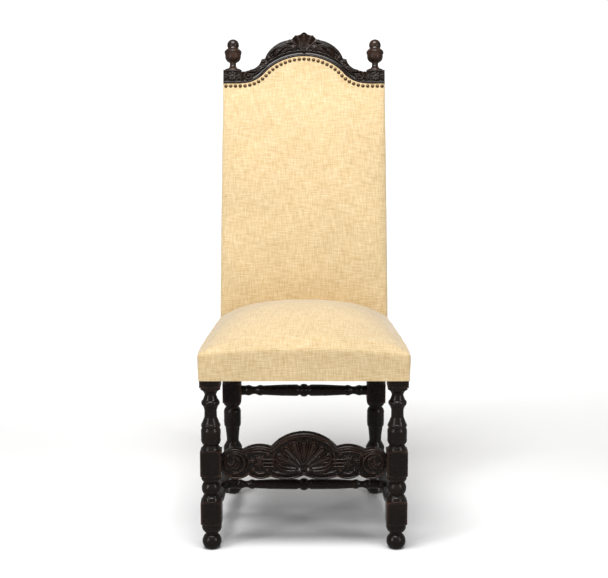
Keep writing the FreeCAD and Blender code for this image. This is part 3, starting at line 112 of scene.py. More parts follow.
def bulged(corners, steps=14):
    """Path through corners, each with the bulge of its next stretch.

    The bulge is the tangent of a quarter of the arc's turn, positive where it runs
    counter-clockwise, and 0 is straight.
    """
    stretches = []
    for (across, up, bulge), (next_across, next_up, _) in zip(corners, corners[1:]):
        start, end = np.array((across, up), float), np.array((next_across, next_up), float)
        if not bulge:
            stretches.append(start[None])
            continue
        chord = end - start
        left = np.array((-chord[1], chord[0]))
        centre = (start + end) / 2 + left * (1 - bulge ** 2) / (4 * bulge)
        arm = start - centre
        turn = np.linspace(0, 4 * math.atan(bulge), steps, endpoint=False)[:, None]
        side = np.array((-arm[1], arm[0]))
        stretches.append(centre + arm * np.cos(turn) + side * np.sin(turn))
    stretches.append(np.array(corners[-1][:2], float)[None])
    return np.concatenate(stretches)


def both_sides(corners):
    """A path given from the right end to the middle, carried on to the left end."""
    bulges = [corner[2] for corner in corners[:-1]]
    if corners[-1][0]:
        bulges.append(corners[-1][2])
    mirrored = [(-across, up) for across, up, _ in reversed(corners)]
    if not corners[-1][0]:
        mirrored = mirrored[1:]
    whole = [(across, up) for across, up, _ in corners] + mirrored
    back = list(reversed([corner[2] for corner in corners[:-1]]))
    return [(across, up, bulge) for (across, up), bulge in zip(whole, bulges + back + [0])]


def scaled(shares, half, rise):
    """Corners given as shares of a half length and of a rise."""
    return [(half * across, rise * up, bulge) for across, up, bulge in shares]


def flowing(points, steps=6):
    """Smooth path through a few points."""
    points = np.array(points, float)
    ends = np.concatenate((2 * points[:1] - points[1:2], points, 2 * points[-1:] - points[-2:-1]))
    share = np.linspace(0, 1, steps, endpoint=False)[:, None]
    path = []
    for before, start, end, after in zip(ends, ends[1:], ends[2:], ends[3:]):
        path.append(0.5 * (2 * start + (end - before) * share
                           + (2 * before - 5 * start + 4 * end - after) * share ** 2
                           + (3 * start - before - 3 * end + after) * share ** 3))
    path.append(points[-1:])
    return np.concatenate(path)


def side_path(side, points):
    """Flowing path on the right, or mirrored to the left."""
    return flowing(points) * (side, 1)


def arc(middle, radius, start, end, steps=20):
    """Round path about a middle, between two angles in degrees."""
    angle = np.radians(np.linspace(start, end, steps))
    return np.array(middle) + radius * np.stack((np.cos(angle), np.sin(angle)), 1)


def volute(middle, radius, start, turns, inner=0.28):
    """Spiral path from its outer end in to its eye; negative turns run clockwise."""
    share = np.linspace(0, 1, 34)
    angle = math.radians(start) + share * turns * 2 * math.pi
    reach = radius * (1 - (1 - inner) * share)
    return np.array(middle) + reach[:, None] * np.stack((np.cos(angle), np.sin(angle)), 1)


def nearest(points, path):
    """Distance of each point from a path, and how far along it its nearest place is."""
    gap = np.full(len(points), np.inf)
    share = np.zeros(len(points))
    steps = np.diff(path, axis=0)
    lengths = np.linalg.norm(steps, axis=1)
    passed = 0
    for start, step, length in zip(path, steps, lengths):
        if length < WELD:
            continue
        offset = points - start
        along = np.clip(offset @ step / length ** 2, 0, 1)
        reach = np.linalg.norm(offset - along[:, None] * step, axis=1)
        closer = reach < gap
        gap[closer] = reach[closer]
        share[closer] = (passed + along[closer] * length) / lengths.sum()
        passed += length
    return gap, share


def round_section(ratio):
    """Half-round bead."""
    return np.sqrt(np.clip(1 - ratio ** 2, 0, 1))


def finger_section(ratio):
    """Low rounded tongue inside a raised outline."""
    outline = np.exp(-((ratio - 0.84) / 0.13) ** 2)
    return np.maximum(outline, 0.7 * np.sqrt(np.clip(1 - (ratio / 0.6) ** 2, 0, 1)))


def leaf_section(ratio):
    """Leaf with a sunk vein along its middle and soft edges."""
    return np.sqrt(np.clip(1 - ratio ** 2, 0, 1)) * (1 - 0.5 * np.exp(-(ratio / 0.2) ** 2))


class Carving:
    """Height of the carving over the face of a board, in millimetres above its ground."""

    def __init__(self, points):
        self.points = points
        self.height = np.zeros(len(points))

    def moulding(self, edge, section):
        """Moulding along an edge; its section is pairs of distance from the edge and height."""
        gap, _ = nearest(self.points, edge)
        distances, heights = zip(*section)
        self.height = np.maximum(self.height, np.interp(gap, distances, heights, right=0))

    def stroke(self, path, widths, height, section=round_section):
        """Raised form along a path, with its half widths from start to end."""
        reach = max(widths)
        low, high = path.min(0) - reach, path.max(0) + reach
        near = np.all((self.points > low) & (self.points < high), axis=1)
        gap, share = nearest(self.points[near], path)
        half = np.interp(share, np.linspace(0, 1, len(widths)), widths)
        ratio = gap / np.maximum(half, WELD)
        form = height * section(np.minimum(ratio, 1)) * (half / reach) ** 0.4
        self.height[near] = np.where(ratio < 1, np.maximum(self.height[near], form),
                                     self.height[near])

    def flow(self, side, points, widths, height, section=round_section):
        """Raised form along a flowing path on one side."""
        self.stroke(side_path(side, points), widths, height, section)

    def leaves(self, side, table):
        """Veined leaves on one side; each is its path, its half widths and its height."""
        for points, widths, height in table:
            self.flow(side, points, widths, height, leaf_section)

    def cut(self, path, width, depth):
        """Groove along a path."""
        low, high = path.min(0) - width, path.max(0) + width
        near = np.all((self.points > low) & (self.points < high), axis=1)
        gap, _ = nearest(self.points[near], path)
        self.height[near] -= depth * np.exp(-(gap / (width / 2)) ** 2)

    def boss(self, middle, radius, height):
        """Round boss with a ring cut round its eye."""
        ratio = np.linalg.norm(self.points - np.array(middle), axis=1) / radius
        form = height * round_section(np.minimum(ratio, 1))
        form -= height * 0.22 * np.exp(-((ratio - 0.62) / 0.1) ** 2)
        self.height = np.where(ratio < 1, np.maximum(self.height, form), self.height)

    def scroll(self, middle, radius, start, turns, width, height):
        """Volute with a round eye."""
        self.stroke(volute(middle, radius - width, start, turns), (width, width * 0.6), height)
        self.boss(middle, radius * 0.36, height * 1.05)

    def petals(self, middle, angles, reach, widths, height, section=round_section):
        """Straight forms from a root to a tip round a middle, at angles in degrees."""
        for angle in np.radians(angles):
            aim = np.array((math.cos(angle), math.sin(angle)))
            self.stroke(np.array(middle) + np.outer(reach, aim), widths, height, section)

    def fan(self, middle, spread, count, root, tip, widths, height):
        """Fingers of a shell about its hinge."""
        angles = np.linspace(90 - spread / 2, 90 + spread / 2, count)
        self.petals(middle, angles, np.linspace(root, tip, 5), widths, height, finger_section)

    def soften(self, edge, radius):
        """Round the face over at an edge."""
        gap, _ = nearest(self.points, edge)
        inside = np.clip(radius - gap, 0, radius)
        self.height -= radius - np.sqrt(radius ** 2 - inside ** 2)


def averaged(grid, times):
    """Each value of a grid levelled with its neighbours, some times over."""
    for _ in range(times):
        padded = np.pad(grid, 1, mode="edge")
        rows, columns = grid.shape
        grid = sum(padded[up:up + rows, across:across + columns]
                   for up in range(3) for across in range(3)) / 9
    return grid


def rubbed_down(height, order, rows, columns):
    """Carved heights with their sharp ridges rubbed down, and how worn each point is, 0 to 1."""
    grid = averaged(height[order].reshape(rows + 1, columns + 1), 1)
    proud = (grid - averaged(grid, 4)) / WORN_PROUD
    levelled, wear = np.empty(len(height)), np.empty(len(height))
    levelled[order] = grid.ravel()
    wear[order] = np.clip(proud, 0, 1).ravel()
    return levelled, wear


def points_of(items):
    """The vertices among what an operator gives back."""
    return [item for item in items if isinstance(item, bmesh.types.BMVert)]


def closed_behind(bm, far):
    """Take the rim of a sheet to its far side and close it there; gives the closing faces."""
    rim = [edge for edge in bm.edges if edge.is_boundary]
    walls = bmesh.ops.extrude_edge_only(bm, edges=rim)["geom"]
    for point in points_of(walls):
        point.co = far(point.co)
    loop = [item for item in walls if isinstance(item, bmesh.types.BMEdge) and item.is_boundary]
    return bmesh.ops.contextual_create(bm, geom=loop)["faces"]


def add_block(bm, corners, step):
    """Add a block to a bmesh: a flat face through corners, carried along a step."""
    face = bm.faces.new([bm.verts.new(corner) for corner in corners])
    raised = bmesh.ops.extrude_face_region(bm, geom=[face])["geom"]
    bmesh.ops.translate(bm, vec=step, verts=points_of(raised))


def carved_board(low, top, half, carve, ground, rear, rows, columns):
    """Board whose face is carved: its face is a grid fitted between two edges of its outline."""
    bm = bmesh.new()
    wear = bm.verts.layers.float.new("wear")
    bmesh.ops.create_grid(bm, x_segments=columns, y_segments=rows, size=1)
    points = list(bm.verts)
    share = np.array([point.co[:2] for point in points])
    order = np.lexsort((share[:, 0].round(5), share[:, 1].round(5)))
    across = share[:, 0] * half
    foot = np.interp(across, low[:, 0], low[:, 1])
    head = np.interp(across, top[:, 0], top[:, 1])
    up = foot + (head - foot) * (share[:, 1] + 1) / 2
    height, rubbed = rubbed_down(carve(np.stack((across, up), 1)), order, rows, columns)
    for point, x, z, rise, rub in zip(points, across, up, height, rubbed):
        point.co = Vector((x, ground - rise, z)) * MM
        point[wear] = rub
    rear_face = closed_behind(bm, lambda place: Vector((place.x, rear * MM, place.z)))
    bmesh.ops.triangulate(bm, faces=rear_face)
    return bm


def mesh_of(name, bm):
    """Mesh with what a bmesh holds; the bmesh is freed."""
    mesh = bpy.data.meshes.new(name)
    bm.to_mesh(mesh)
    bm.free()
    return mesh


def linked(name, data):
    """New object of the scene."""
    thing = bpy.data.objects.new(name, data)
    bpy.context.scene.collection.objects.link(thing)
    return thing


def make_piece(name, bm, material, place=None, stands_for=(), sharp=SHARP_ANGLE):
    """Finished piece of the chair from a bmesh, at its place and riding on the frame."""
    bmesh.ops.remove_doubles(bm, verts=bm.verts, dist=WELD)
    bmesh.ops.recalc_face_normals(bm, faces=bm.faces)
    if place:
        bmesh.ops.transform(bm, matrix=place, verts=bm.verts)
    return place_piece(name, mesh_of(name, bm), material, stands_for, sharp)


def place_piece(name, mesh, material, stands_for=(), sharp=SHARP_ANGLE):
    """Finished piece of the chair from a mesh that is already at its place."""
    mesh.polygons.foreach_set("use_smooth", [True] * len(mesh.polygons))
    mesh.set_sharp_from_angle(angle=math.radians(sharp))
    mesh.materials.clear()
    mesh.materials.append(material)
    piece = linked(name, mesh)
    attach(piece, "root")
    if stands_for:
        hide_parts(*stands_for)
    return piece


# Materials.

class Shader:
    """Material built node by node."""

    def __init__(self, name, **constants):
        self.material = bpy.data.materials.new(name)
        self.material.use_nodes = True
        self.nodes = self.material.node_tree.nodes
        self.principled = self.nodes["Principled BSDF"]
        self.set(self.principled, constants)

    def set(self, node, values):
        """Constants on a node's own sockets."""
        for socket, value in values.items():
            key = socket if isinstance(socket, int) else socket.replace("_", " ")
            node.inputs[key].default_value = value

    def join(self, source, target, socket):
        """Link the first output of a node, or a given socket, to a node's input."""
        output = source.outputs[0] if hasattr(source, "outputs") else source
        self.material.node_tree.links.new(output, target.inputs[socket])

    def add(self, kind, links=None, options=None, **constants):
        """New node with its links, options and constants."""
        node = self.nodes.new("ShaderNode" + kind)
        for option, value in (options or {}).items():
            setattr(node, option, value)
        self.set(node, constants)
        for socket, source in (links or {}).items():
            self.join(source, node, socket)
        return node

    def place(self, scale=(1, 1, 1), turn=(0, 0, 0)):
        """Object coordinates, scaled and turned."""
        coordinates = self.add("TexCoord")
        return self.add("Mapping", {"Vector": coordinates.outputs["Object"]}, Scale=scale,
                        Rotation=turn)

    def noise(self, where, scale, detail=3.0, roughness=0.55):
        """Noise over mapped coordinates."""
        return self.add("TexNoise", {"Vector": where}, Scale=scale, Detail=detail,
                        Roughness=roughness)

    def ramp(self, source, stops):
        """Colours or grey values at given shares."""
        node = self.add("ValToRGB", {"Fac": source})
        elements = node.color_ramp.elements
        while len(elements) < len(stops):
            elements.new(0.5)
        for element, (share, colour) in zip(elements, stops):
            element.position = share
            element.color = (*colour, 1)
        return node

    def greys(self, source, *stops):
        """Grey values at given shares."""
        return self.ramp(source, [(share, (level, level, level)) for share, level in stops])

    def math(self, operation, first, second, clamp=False):
        """Sum, product or other result of two values or sockets."""
        node = self.add("Math", options={"operation": operation, "use_clamp": clamp})
        for index, item in enumerate((first, second)):
            if isinstance(item, (int, float)):
                node.inputs[index].default_value = item
            else:
                self.join(item, node, index)
        return node

    def mix(self, share, first, second, blend="MIX"):
        """Mixture of two colours or sockets."""
        node = self.add("Mix", options={"data_type": "RGBA", "blend_type": blend})
        for index, item in ((0, share), (6, first), (7, second)):
            if isinstance(item, (int, float)):
                node.inputs[index].default_value = item
            elif isinstance(item, tuple):
                node.inputs[index].default_value = (*item, 1)
            else:
                self.join(item, node, index)
        return node.outputs[2]

    def bump(self, height, strength, distance, under=None):
        """Small relief from a grey value."""
        links = {"Height": height}
        if under:
            links["Normal"] = under
        return self.add("Bump", links, Strength=strength, Distance=distance)

    def finish(self, colour, roughness, normal):
        """Link the results to the shader."""
        self.join(colour, self.principled, "Base Color")
        self.join(roughness, self.principled, "Roughness")
        self.join(normal, self.principled, "Normal")
        return self.material


# Share of the edges' wear that reaches the carved pieces.
CARVED_WEAR = 0.6


def dark_wood(name, grain, carved=False, faded=0.12):
    """Ebonised wood: near black, reddish brown where its edges are rubbed, and waxed."""
    looks = settings("chair_wood")
    shader = Shader(name, Coat_Weight=0.15, Coat_Roughness=0.1, Specular_IOR_Level=0.45, IOR=1.4)
    along = shader.place(scale=tuple(1 if axis == grain else 9 for axis in "XYZ"))
    spots = shader.place()
    figure = shader.noise(along, 26, 5)
    cloud = shader.noise(spots, 14, 3)
    if carved:
        edge = shader.add("Attribute", options={"attribute_name": "wear"}).outputs["Fac"]
    else:
        options = {"samples": 6, "inside": True, "only_local": True}
        thickness = shader.add("AmbientOcclusion", None, options, Distance=looks.wear_reach)
        edge = shader.greys(thickness.outputs["AO"], (0.5, 1), (0.92, 0))
    patches = shader.greys(cloud, (0.36, 0.35), (0.64, 1))
    rubbed = shader.math("MULTIPLY", edge, patches)
    rubbed = shader.math("MULTIPLY", rubbed, looks.wear * (CARVED_WEAR if carved else 1), True)
    fill = shader.ramp(figure, ((0.3, tuple(looks.stain)), (0.75, tuple(looks.figure))))
    thin = shader.greys(cloud, (0.42, faded / 4), (0.8, faded))
    base = shader.mix(thin.outputs[0], fill.outputs[0], tuple(looks.rubbed))
    colour = shader.mix(rubbed.outputs[0], base, tuple(looks.rubbed))
    gloss = shader.greys(shader.noise(spots, 60, 4), (0.3, looks.gloss), (0.75, looks.gloss + 0.16))
    dents = shader.bump(shader.noise(spots, 90, 2), 0.25, 0.0008)
    pores = shader.bump(shader.noise(along, 160, 4), 0.3, 0.0003, dents)
    return shader.finish(colour, gloss, pores)


def plain_wood(name, grain):
    """Bare hardwood of the hidden rails."""
    shader = Shader(name)
    along = shader.place(scale=tuple(1 if axis == grain else 12 for axis in "XYZ"))
    figure = shader.noise(along, 18, 5)
    fill = shader.ramp(figure, ((0.3, (0.42, 0.27, 0.14)), (0.7, (0.58, 0.41, 0.24))))
    rough = shader.greys(figure, (0.3, 0.55), (0.7, 0.75))
    return shader.finish(fill, rough, shader.bump(figure, 0.3, 0.0004))


# Where cloth faces along an axis by more than this share, its threads go by the depth instead.
FACING_SHARE = 0.71


def thread_planes(shader, turn=(0, 0, 0)):
    """Two coordinates that run along the cloth's threads on whichever way the cloth faces."""
    place = shader.place(turn=turn)
    axes = shader.add("SeparateXYZ", {0: place})
    normal = shader.add("NewGeometry").outputs["Normal"]
    turned = shader.add("VectorRotate", {"Vector": normal}, {"rotation_type": "EULER_XYZ"},
                        Rotation=turn)
    facing = shader.add("SeparateXYZ", {0: turned})
    planes = []
    for axis in (0, 2):
        steep = shader.math("ABSOLUTE", facing.outputs[axis], 0)
        away = shader.math("GREATER_THAN", steep, FACING_SHARE)
        kept = shader.math("MULTIPLY", axes.outputs[axis], shader.math("SUBTRACT", 1, away))
        instead = shader.math("MULTIPLY", axes.outputs[1], away)
        planes.append(shader.math("ADD", kept, instead))
    return planes


# Slubs of the linen: how many there are to a metre across and along a thread, how far one thread's
# are shifted from the next one's, and how far apart the noise of warp and weft is taken.
SLUB_WIDTHS = 450
SLUB_LENGTHS = 30
SLUB_SHIFT = 97
SLUB_LAYER = 5


def weave_of(shader, across, along, turns):
    """Relief of a plain weave; its turns are radians of a thread's wave to a metre."""
    waves = [shader.math("SINE", shader.math("MULTIPLY", way, turns), 0) for way in (across, along)]
    return shader.math("MULTIPLY", *waves)


def linen(name, turn=(0, 0, 0)):
    """Cream linen: plain weave with thick and thin threads."""
    looks = settings("chair_linen")
    shader = Shader(name, Sheen_Weight=0.8, Sheen_Roughness=0.4, Specular_IOR_Level=0.2)
    across, along = thread_planes(shader, turn)
    weave = weave_of(shader, across, along, 2 * math.pi / looks.thread_pitch)
    slubs = []
    for layer, (thread, run) in enumerate(((across, along), (along, across))):
        shifted = shader.math("ADD", shader.math("MULTIPLY", run, SLUB_LENGTHS),
                              shader.math("MULTIPLY", thread, SLUB_SHIFT))
        wide = shader.math("MULTIPLY", thread, SLUB_WIDTHS)
        where = shader.add("CombineXYZ", {0: wide, 1: shifted}, Z=SLUB_LAYER * layer)
        slubs.append(shader.noise(where, 1, 2, 0.6))
    threads = shader.math("MULTIPLY", shader.math("ADD", *slubs), 0.5)
    cloud = shader.noise(shader.place(), 9, 2)
    light = shader.ramp(threads, ((0.36, tuple(looks.shade)), (0.5, tuple(looks.colour)),
                                  (0.64, tuple(looks.light))))
    soft = shader.greys(cloud, (0.3, 0.93), (0.7, 1))
    colour = shader.mix(1.0, light.outputs[0], soft.outputs[0], "MULTIPLY")
    rough = shader.greys(threads, (0.3, 0.78), (0.7, 0.92))
    cloth = shader.bump(weave, 0.25, 0.0003)
    relief = shader.bump(threads, 0.35, 0.0006, cloth)
    return shader.finish(colour, rough, relief)


# Radians of a thread's wave to a metre of the dust cloth.
DUST_WEAVE = 5200


def dust_cloth(name):
    """Thin black cotton under the seat."""
    shader = Shader(name, Sheen_Weight=0.3, Specular_IOR_Level=0.2)
    weave = weave_of(shader, *thread_planes(shader), DUST_WEAVE)
    cloud = shader.noise(shader.place(), 30, 3)
    colour = shader.ramp(cloud, ((0.3, (0.010, 0.010, 0.011)), (0.7, (0.022, 0.021, 0.021))))
    rough = shader.greys(cloud, (0.3, 0.8), (0.7, 0.95))
    return shader.finish(colour, rough, shader.bump(weave, 0.3, 0.0003))


def old_brass(name):
    """Darkened brass, lighter where a dome faces the viewer: painted highlight together with the
    rubbed wear of its crown.
    """
    shader = Shader(name, Metallic=1.0, Specular_IOR_Level=0.5)
    cloud = shader.noise(shader.place(), 220, 3)
    # Painted highlight: the colour lightens where the dome faces the viewer, broken up by the cloud
    # as patchy rubbing.
    edge = shader.add("LayerWeight", Blend=0.35).outputs["Facing"]
    rubbed = shader.math("MULTIPLY", shader.math("SUBTRACT", 1, edge), cloud)
    colour = shader.ramp(rubbed, ((0.2, (0.035, 0.022, 0.013)), (0.62, (0.20, 0.125, 0.065))))
    rough = shader.greys(cloud, (0.3, 0.28), (0.7, 0.5))
    return shader.finish(colour, rough, shader.bump(cloud, 0.3, 0.0002))


def pale_paint(name):
    """Paint of the studio's floor, with a faint cloud."""
    shader = Shader(name, Specular_IOR_Level=0.1)
    cloud = shader.noise(shader.place(), 0.6, 2)
    tone = shader.greys(cloud, (0.3, 0.96), (0.7, 0.98))
    rough = shader.greys(cloud, (0.3, 0.9), (0.7, 0.95))
    return shader.finish(tone, rough, shader.bump(cloud, 0.02, 0.001))


# Carved front stretcher. Outlines are shares of half its length and of its arch's rise over
# the hinge of its shell; carving is in millimetres from that hinge.
STRETCHER_HALF = LEG_INSIDE / MM
STRETCHER_RISE = 89.5
STRETCHER_TOP_SHARES = ((1, 0.35, 0.4), (0.742, 0.505, 0.237), (0.4, 0.584, 0.463))
STRETCHER_FOOT_SHARES = (
    (1, -0.078, -0.437), (0.672, -0.178, -0.3), (0.406, -0.218, -0.22), (0, -0.184, 0),
)
STRETCHER_TOP_MOULDING = (
    (0, 4.6), (1, 5.4), (3.4, 5.7), (4.6, 4.9), (5.3, 2.6), (6.2, 4.6), (8, 5.4), (9.9, 4.5),
    (10.7, 1.9), (11.6, 2.6), (13.6, 2.2), (14.6, 0),
)
STRETCHER_FOOT_MOULDING = ((0, 4.4), (1, 5), (3, 5.2), (4.4, 4.2), (5.2, 1.2), (6.5, 0))
# Leaves: path on the right, half widths along it, and height.
STRETCHER_LEAVES = (
    (((15, -5), (34, -8), (54, -3), (68, 11)), (3, 4.6, 3.8, 0.8), 5),
    (((18, -11), (42, -14), (66, -11), (79, -6)), (2, 3.2, 2.6, 0.8), 4.6),
    (((20, 0), (38, 1), (56, 7), (66, 22), (64, 36)), (1.6, 2.8, 2.8, 2.2, 0.8), 4.6),
    (((70, -2), (76, 12), (74, 30), (66, 46)), (1, 2.6, 2.6, 0.8), 4.4),
)
BUD_LEAVES = (
    (((108, -3), (107.5, 11), (108, 31)), (2, 6.6, 1.2), 5),
    (((108, 2), (102, 10), (97, 8)), (1.4, 3, 0.8), 4.4),
    (((108, 2), (114, 10), (119, 8)), (1.4, 3, 0.8), 4.4),
    (((108, 16), (102, 25), (99, 32)), (1.4, 3.2, 0.8), 4.4),
    (((108, 16), (114, 25), (117, 32)), (1.4, 3.2, 0.8), 4.4),
)
ROUNDEL_LEAVES = (
    (((186, 30), (171, 31), (158, 22), (158, 6), (168, -2)), (1.2, 4.2, 5, 2.4, 1), 4.8),
    (((170, 24), (172, 14), (180, 9), (187, 14)), (1, 4.4, 3.4, 1), 4.8),
    (((164, 12), (170, 4), (179, -2)), (1, 3.4, 1), 4.4),
)
STRETCHER_GRID = (124, 500)
STRETCHER_GROUND = -5.2
STRETCHER_RELIEF = 1.2
STRETCHER_REAR = 12


def carve_side_panel(carving, side):
    """Reeds, volutes, bud and flower between the stretcher's middle arch and its end."""
    for up in (23, 14.2, 5.4):
        carving.flow(side, ((70, up - 1), (84, up), (99, up)), (1.4, 2.6, 2.2), 5)
    for across, up, start, turns in ((88, 36.2, 60, 1.2), (140, 34.5, 120, -1.2),
                                     (123, -4.8, -60, 1.2), (89, -4.8, -120, -1.2)):
        start = start if side > 0 else 180 - start
        carving.scroll((side * across, up), 7.6, start, side * turns, 2.2, 5.4)
    carving.flow(side, ((92, 40), (106, 42.5), (122, 42), (136, 38.5)), (2, 2.8, 2), 5.2)
    carving.flow(side, ((118, -10), (107, -13), (96, -11)), (1.6, 2.8, 1.6), 4.6)
    carving.leaves(side, BUD_LEAVES)
    flower = np.array((side * 127, 19))
    carving.petals(flower, range(90, 450, 72), (2, 6.2), (1.6, 2.6), 4.4)
    carving.boss(flower, 2.4, 4.8)
    carving.flow(side, ((137, 30), (135, 18), (137, 4)), (1.4, 2.4, 1.4), 4.6)


def carve_roundel(carving, side):
    """Scroll and leaves in the round end of the stretcher."""
    middle = np.array((side * 168.5, 12.5))
    ring = arc(middle, 24.5, 90 - side * 130, 90 + side * 190, 40)
    carving.stroke(ring, (1.4, 3.4, 3.4, 2), 5.2)
    carving.leaves(side, ROUNDEL_LEAVES)
    carving.scroll((side * 181, 33), 5, 200 if side > 0 else -20, -side * 1.1, 1.6, 5)


def carve_stretcher(points):
    """Heights of the front stretcher's carving."""
    carving = Carving(points)
    top, foot = stretcher_edges()
    carving.moulding(top, STRETCHER_TOP_MOULDING)
    carving.moulding(foot, STRETCHER_FOOT_MOULDING)
    carving.fan((0, -3), 128, 7, 13, 65.5, (2, 5, 10.6), 6.2)
    for side in (1, -1):
        carving.leaves(side, STRETCHER_LEAVES)
        carving.boss((side * 10.6, -6.6), 8.6, 8)
        carve_side_panel(carving, side)
        carve_roundel(carving, side)
    carving.height *= STRETCHER_RELIEF
    carving.soften(top, 1.6)
    carving.soften(foot, 1.6)
    return carving.height


def stretcher_edges():
    """Upper and lower edge of the stretcher, from its right end to its left end."""
    top = bulged(both_sides(scaled(STRETCHER_TOP_SHARES, STRETCHER_HALF, STRETCHER_RISE)))
    foot = bulged(both_sides(scaled(STRETCHER_FOOT_SHARES, STRETCHER_HALF, STRETCHER_RISE)))
    return top, foot


# Carved crest. Lengths are in millimetres from the foot of the crest, up the posts.
CREST_HALF = POST_INSIDE / MM
ARCH_RISE = 76.5
CREST_RISE = 145.5
OGEE_SHARES = ((1, 0, -0.2345), (0.612, 0.431, 0.199), (0, 1, 0))
OGEE_SLANT = math.sin(math.radians(47))
CREST_TOP_SHARES = (
    (1, 0.235, 0), (0.93, 0.25, -0.2), (0.7055, 0.4055, 0), (0.679, 0.488, 0), (0.624, 0.502, 0.31),
    (0.1925, 0.866, 0.4), (0.0933, 0.9485, 0), (0.07, 0.955, 0.55),
)
CREST_MOULDING = (
    (0, 7.4), (0.9, 8.4), (3.4, 8.7), (4.8, 7.8), (5.3, 5.2), (7.6, 3.0), (11, 2.0), (14, 2.8),
    (16.2, 5.0), (17.2, 5.4), (18, 4.6), (18.8, 0.4), (19.6, 0),
)
CREST_LEAVES = (
    (((32, 107), (52, 107), (70, 97), (84, 84), (90, 79)), (3, 6, 6.4, 4, 1), 7.2),
    (((36, 99), (48, 97), (60, 88), (72, 79)), (3, 5.4, 4.8, 1), 6.6),
    (((58, 100), (68, 93), (76, 84), (86, 72)), (1, 3.4, 3.4, 1), 7.4),
    (((103, 62), (112, 63), (118, 70)), (3.6, 4.6, 1), 7.4),
    (((104, 56), (113, 54), (121, 58)), (3.2, 4, 1), 7),
    (((106, 51), (122, 43), (138, 37), (152, 38), (160, 33)), (4.4, 7, 6.4, 5, 2), 7.4),
    (((112, 45), (128, 33), (138, 24)), (2, 3.8, 1), 6.6),
)
CREST_GRID = (120, 480)
CREST_GROUND = -18
CREST_REAR = 10
CREST_BAND = 18
TACKING_STRIP = 24
BAND_LAP = 1


def ogee(shift=0, half=None):
    """The crest's lower edge from right to left, moved up by a shift."""
    half = half or CREST_HALF
    (_, _, hollow), (across, up, arch), _ = OGEE_SHARES
    slant = shift * OGEE_SLANT
    right = [(half, shift, hollow), (half * across + slant, ARCH_RISE * up + slant, arch),
             (0, ARCH_RISE + shift, 0)]
    return both_sides(right)


def carve_crest(points):
    """Heights of the crest's carving."""
    carving = Carving(points)
    top, foot = crest_edges()
    carving.moulding(foot, CREST_MOULDING)
    for side in (1, -1):
        carving.flow(side, ((30, 119), (52, 115), (74, 105), (92, 91), (103, 76)),
                     (3.4, 5.4, 5.8, 5.2, 3.6), 8.4)
        groove = side_path(side, ((36, 118.5), (54, 114), (76, 103), (92, 89), (100, 79)))
        carving.cut(groove, 2.2, 1.6)
        carving.leaves(side, CREST_LEAVES)
        carving.boss((side * 29, 101), 9.2, 8.8)
        carving.boss((side * 96, 72.5), 8.6, 8.6)
        start = 100 if side > 0 else 80
        carving.scroll((side * 151.5, 21), 17, start, side * -1.45, 4, 9)
        for across in (166.5, 170.5):
            carving.stroke(np.array(((across, 6), (across, 35))) * (side, 1), (1.5, 1.5), 6.4)
    carving.fan((0, 88), 88, 5, 8, 49, (1.7, 8.4), 9.2)
    carving.boss((0, 92), 6.5, 8.4)
    carving.soften(top, 2.2)
    carving.soften(foot, 1.2)
    return carving.height


def crest_edges():
    """Upper and lower edge of the crest, from its right end to its left end."""
    top = bulged(both_sides(scaled(CREST_TOP_SHARES, CREST_HALF, CREST_RISE)))
    return top, bulged(ogee())


def add_crest_band(bm):
    """Full depth of the crest behind its lower edge, where the outside back is tacked."""
    under, over = bulged(ogee(-TACKING_STRIP)), bulged(ogee(CREST_BAND))[::-1]
    under[:, 1] = np.maximum(under[:, 1], 0)
    front, rear = (CREST_REAR - BAND_LAP) * MM, POST_SIDE / 2
    corners = np.concatenate((under, over)) * MM
    add_block(bm, [(across, front, up) for across, up in corners], (0, rear - front, 0))


# Carved face of a post's top block: rosette, frame and lip, in millimetres from its foot.
BLOCK_HALF = POST_SIDE / 2 / MM
BLOCK_RISE = 37.5
BLOCK_MOULDING = ((0, 2.2), (1.6, 2.4), (2.6, 2), (3.2, 0.5), (4, 0.3))
BLOCK_LIP = ((0, 2.6), (3.6, 3), (4.8, 2.2), (5.4, 0.4))
BLOCK_GRID = (60, 80)
BLOCK_DEPTH = 2


def carve_block(points):
    """Heights of the carving on a top block."""
    carving = Carving(points)
    half, rise = BLOCK_HALF, BLOCK_RISE
    rim = np.array(((-half, 0), (half, 0), (half, rise), (-half, rise), (-half, 0)), float)
    carving.moulding(rim, BLOCK_MOULDING)
    carving.moulding(rim[:2], BLOCK_LIP)
    middle = np.array((0, rise / 2))
    carving.petals(middle, range(0, 360, 45), (4, 9.6), (2.6, 3.6), 4.4)
    carving.boss(middle, 6, 5.6)
    for side in (1, -1):
        for up in (-4.4, 0, 4.4):
            bead = np.array(((side * 15.5, up), (side * 20.5, up)))
            carving.stroke(middle + bead, (1.5, 1.5), 2.6)
    carving.soften(rim, 1)
    return carving.height


# Upholstery.

def eased(share, knots):
    """Smooth value through pairs of share and value."""
    places, values = np.array(knots, float).T
    slopes = np.gradient(values, places)
    index = np.clip(np.searchsorted(places, share) - 1, 0, len(places) - 2)
    width = places[index + 1] - places[index]
    step = np.clip((share - places[index]) / width, 0, 1)
    rest = 1 - step
    return (values[index] * (1 + 2 * step) * rest ** 2
            + values[index + 1] * (3 - 2 * step) * step ** 2
            + width * step * rest * (slopes[index] * rest - slopes[index + 1] * step))


# Crown of the seat from front to back, and of the back from foot to head: share of the way there
# and of the crown.
SEAT_CROWN_SHARES = (
    (0, 0.2), (0.03, 0.29), (0.15, 0.55), (0.33, 0.84), (0.53, 1), (0.74, 0.95), (1, 0.72),
)
BACK_CROWN_SHARES = (
    (0, 0.25), (0.12, 0.75), (0.3, 1), (0.6, 0.9), (0.85, 0.55), (0.95, 0.12), (1, 0),
)
# Powers of the crowns' curves across the seat and the back: the higher, the flatter their middles.
SEAT_FULLNESS = 2.2
BACK_FULLNESS = 2.4
# Columns and rows of the forms, how often they are smoothed, and the step of their even mesh.
SEAT_GRID = (36, 30)
BACK_GRID = (40, 60)
SEAT_ROUNDING = 6
BACK_ROUNDING = 5
VOXEL = 0.006
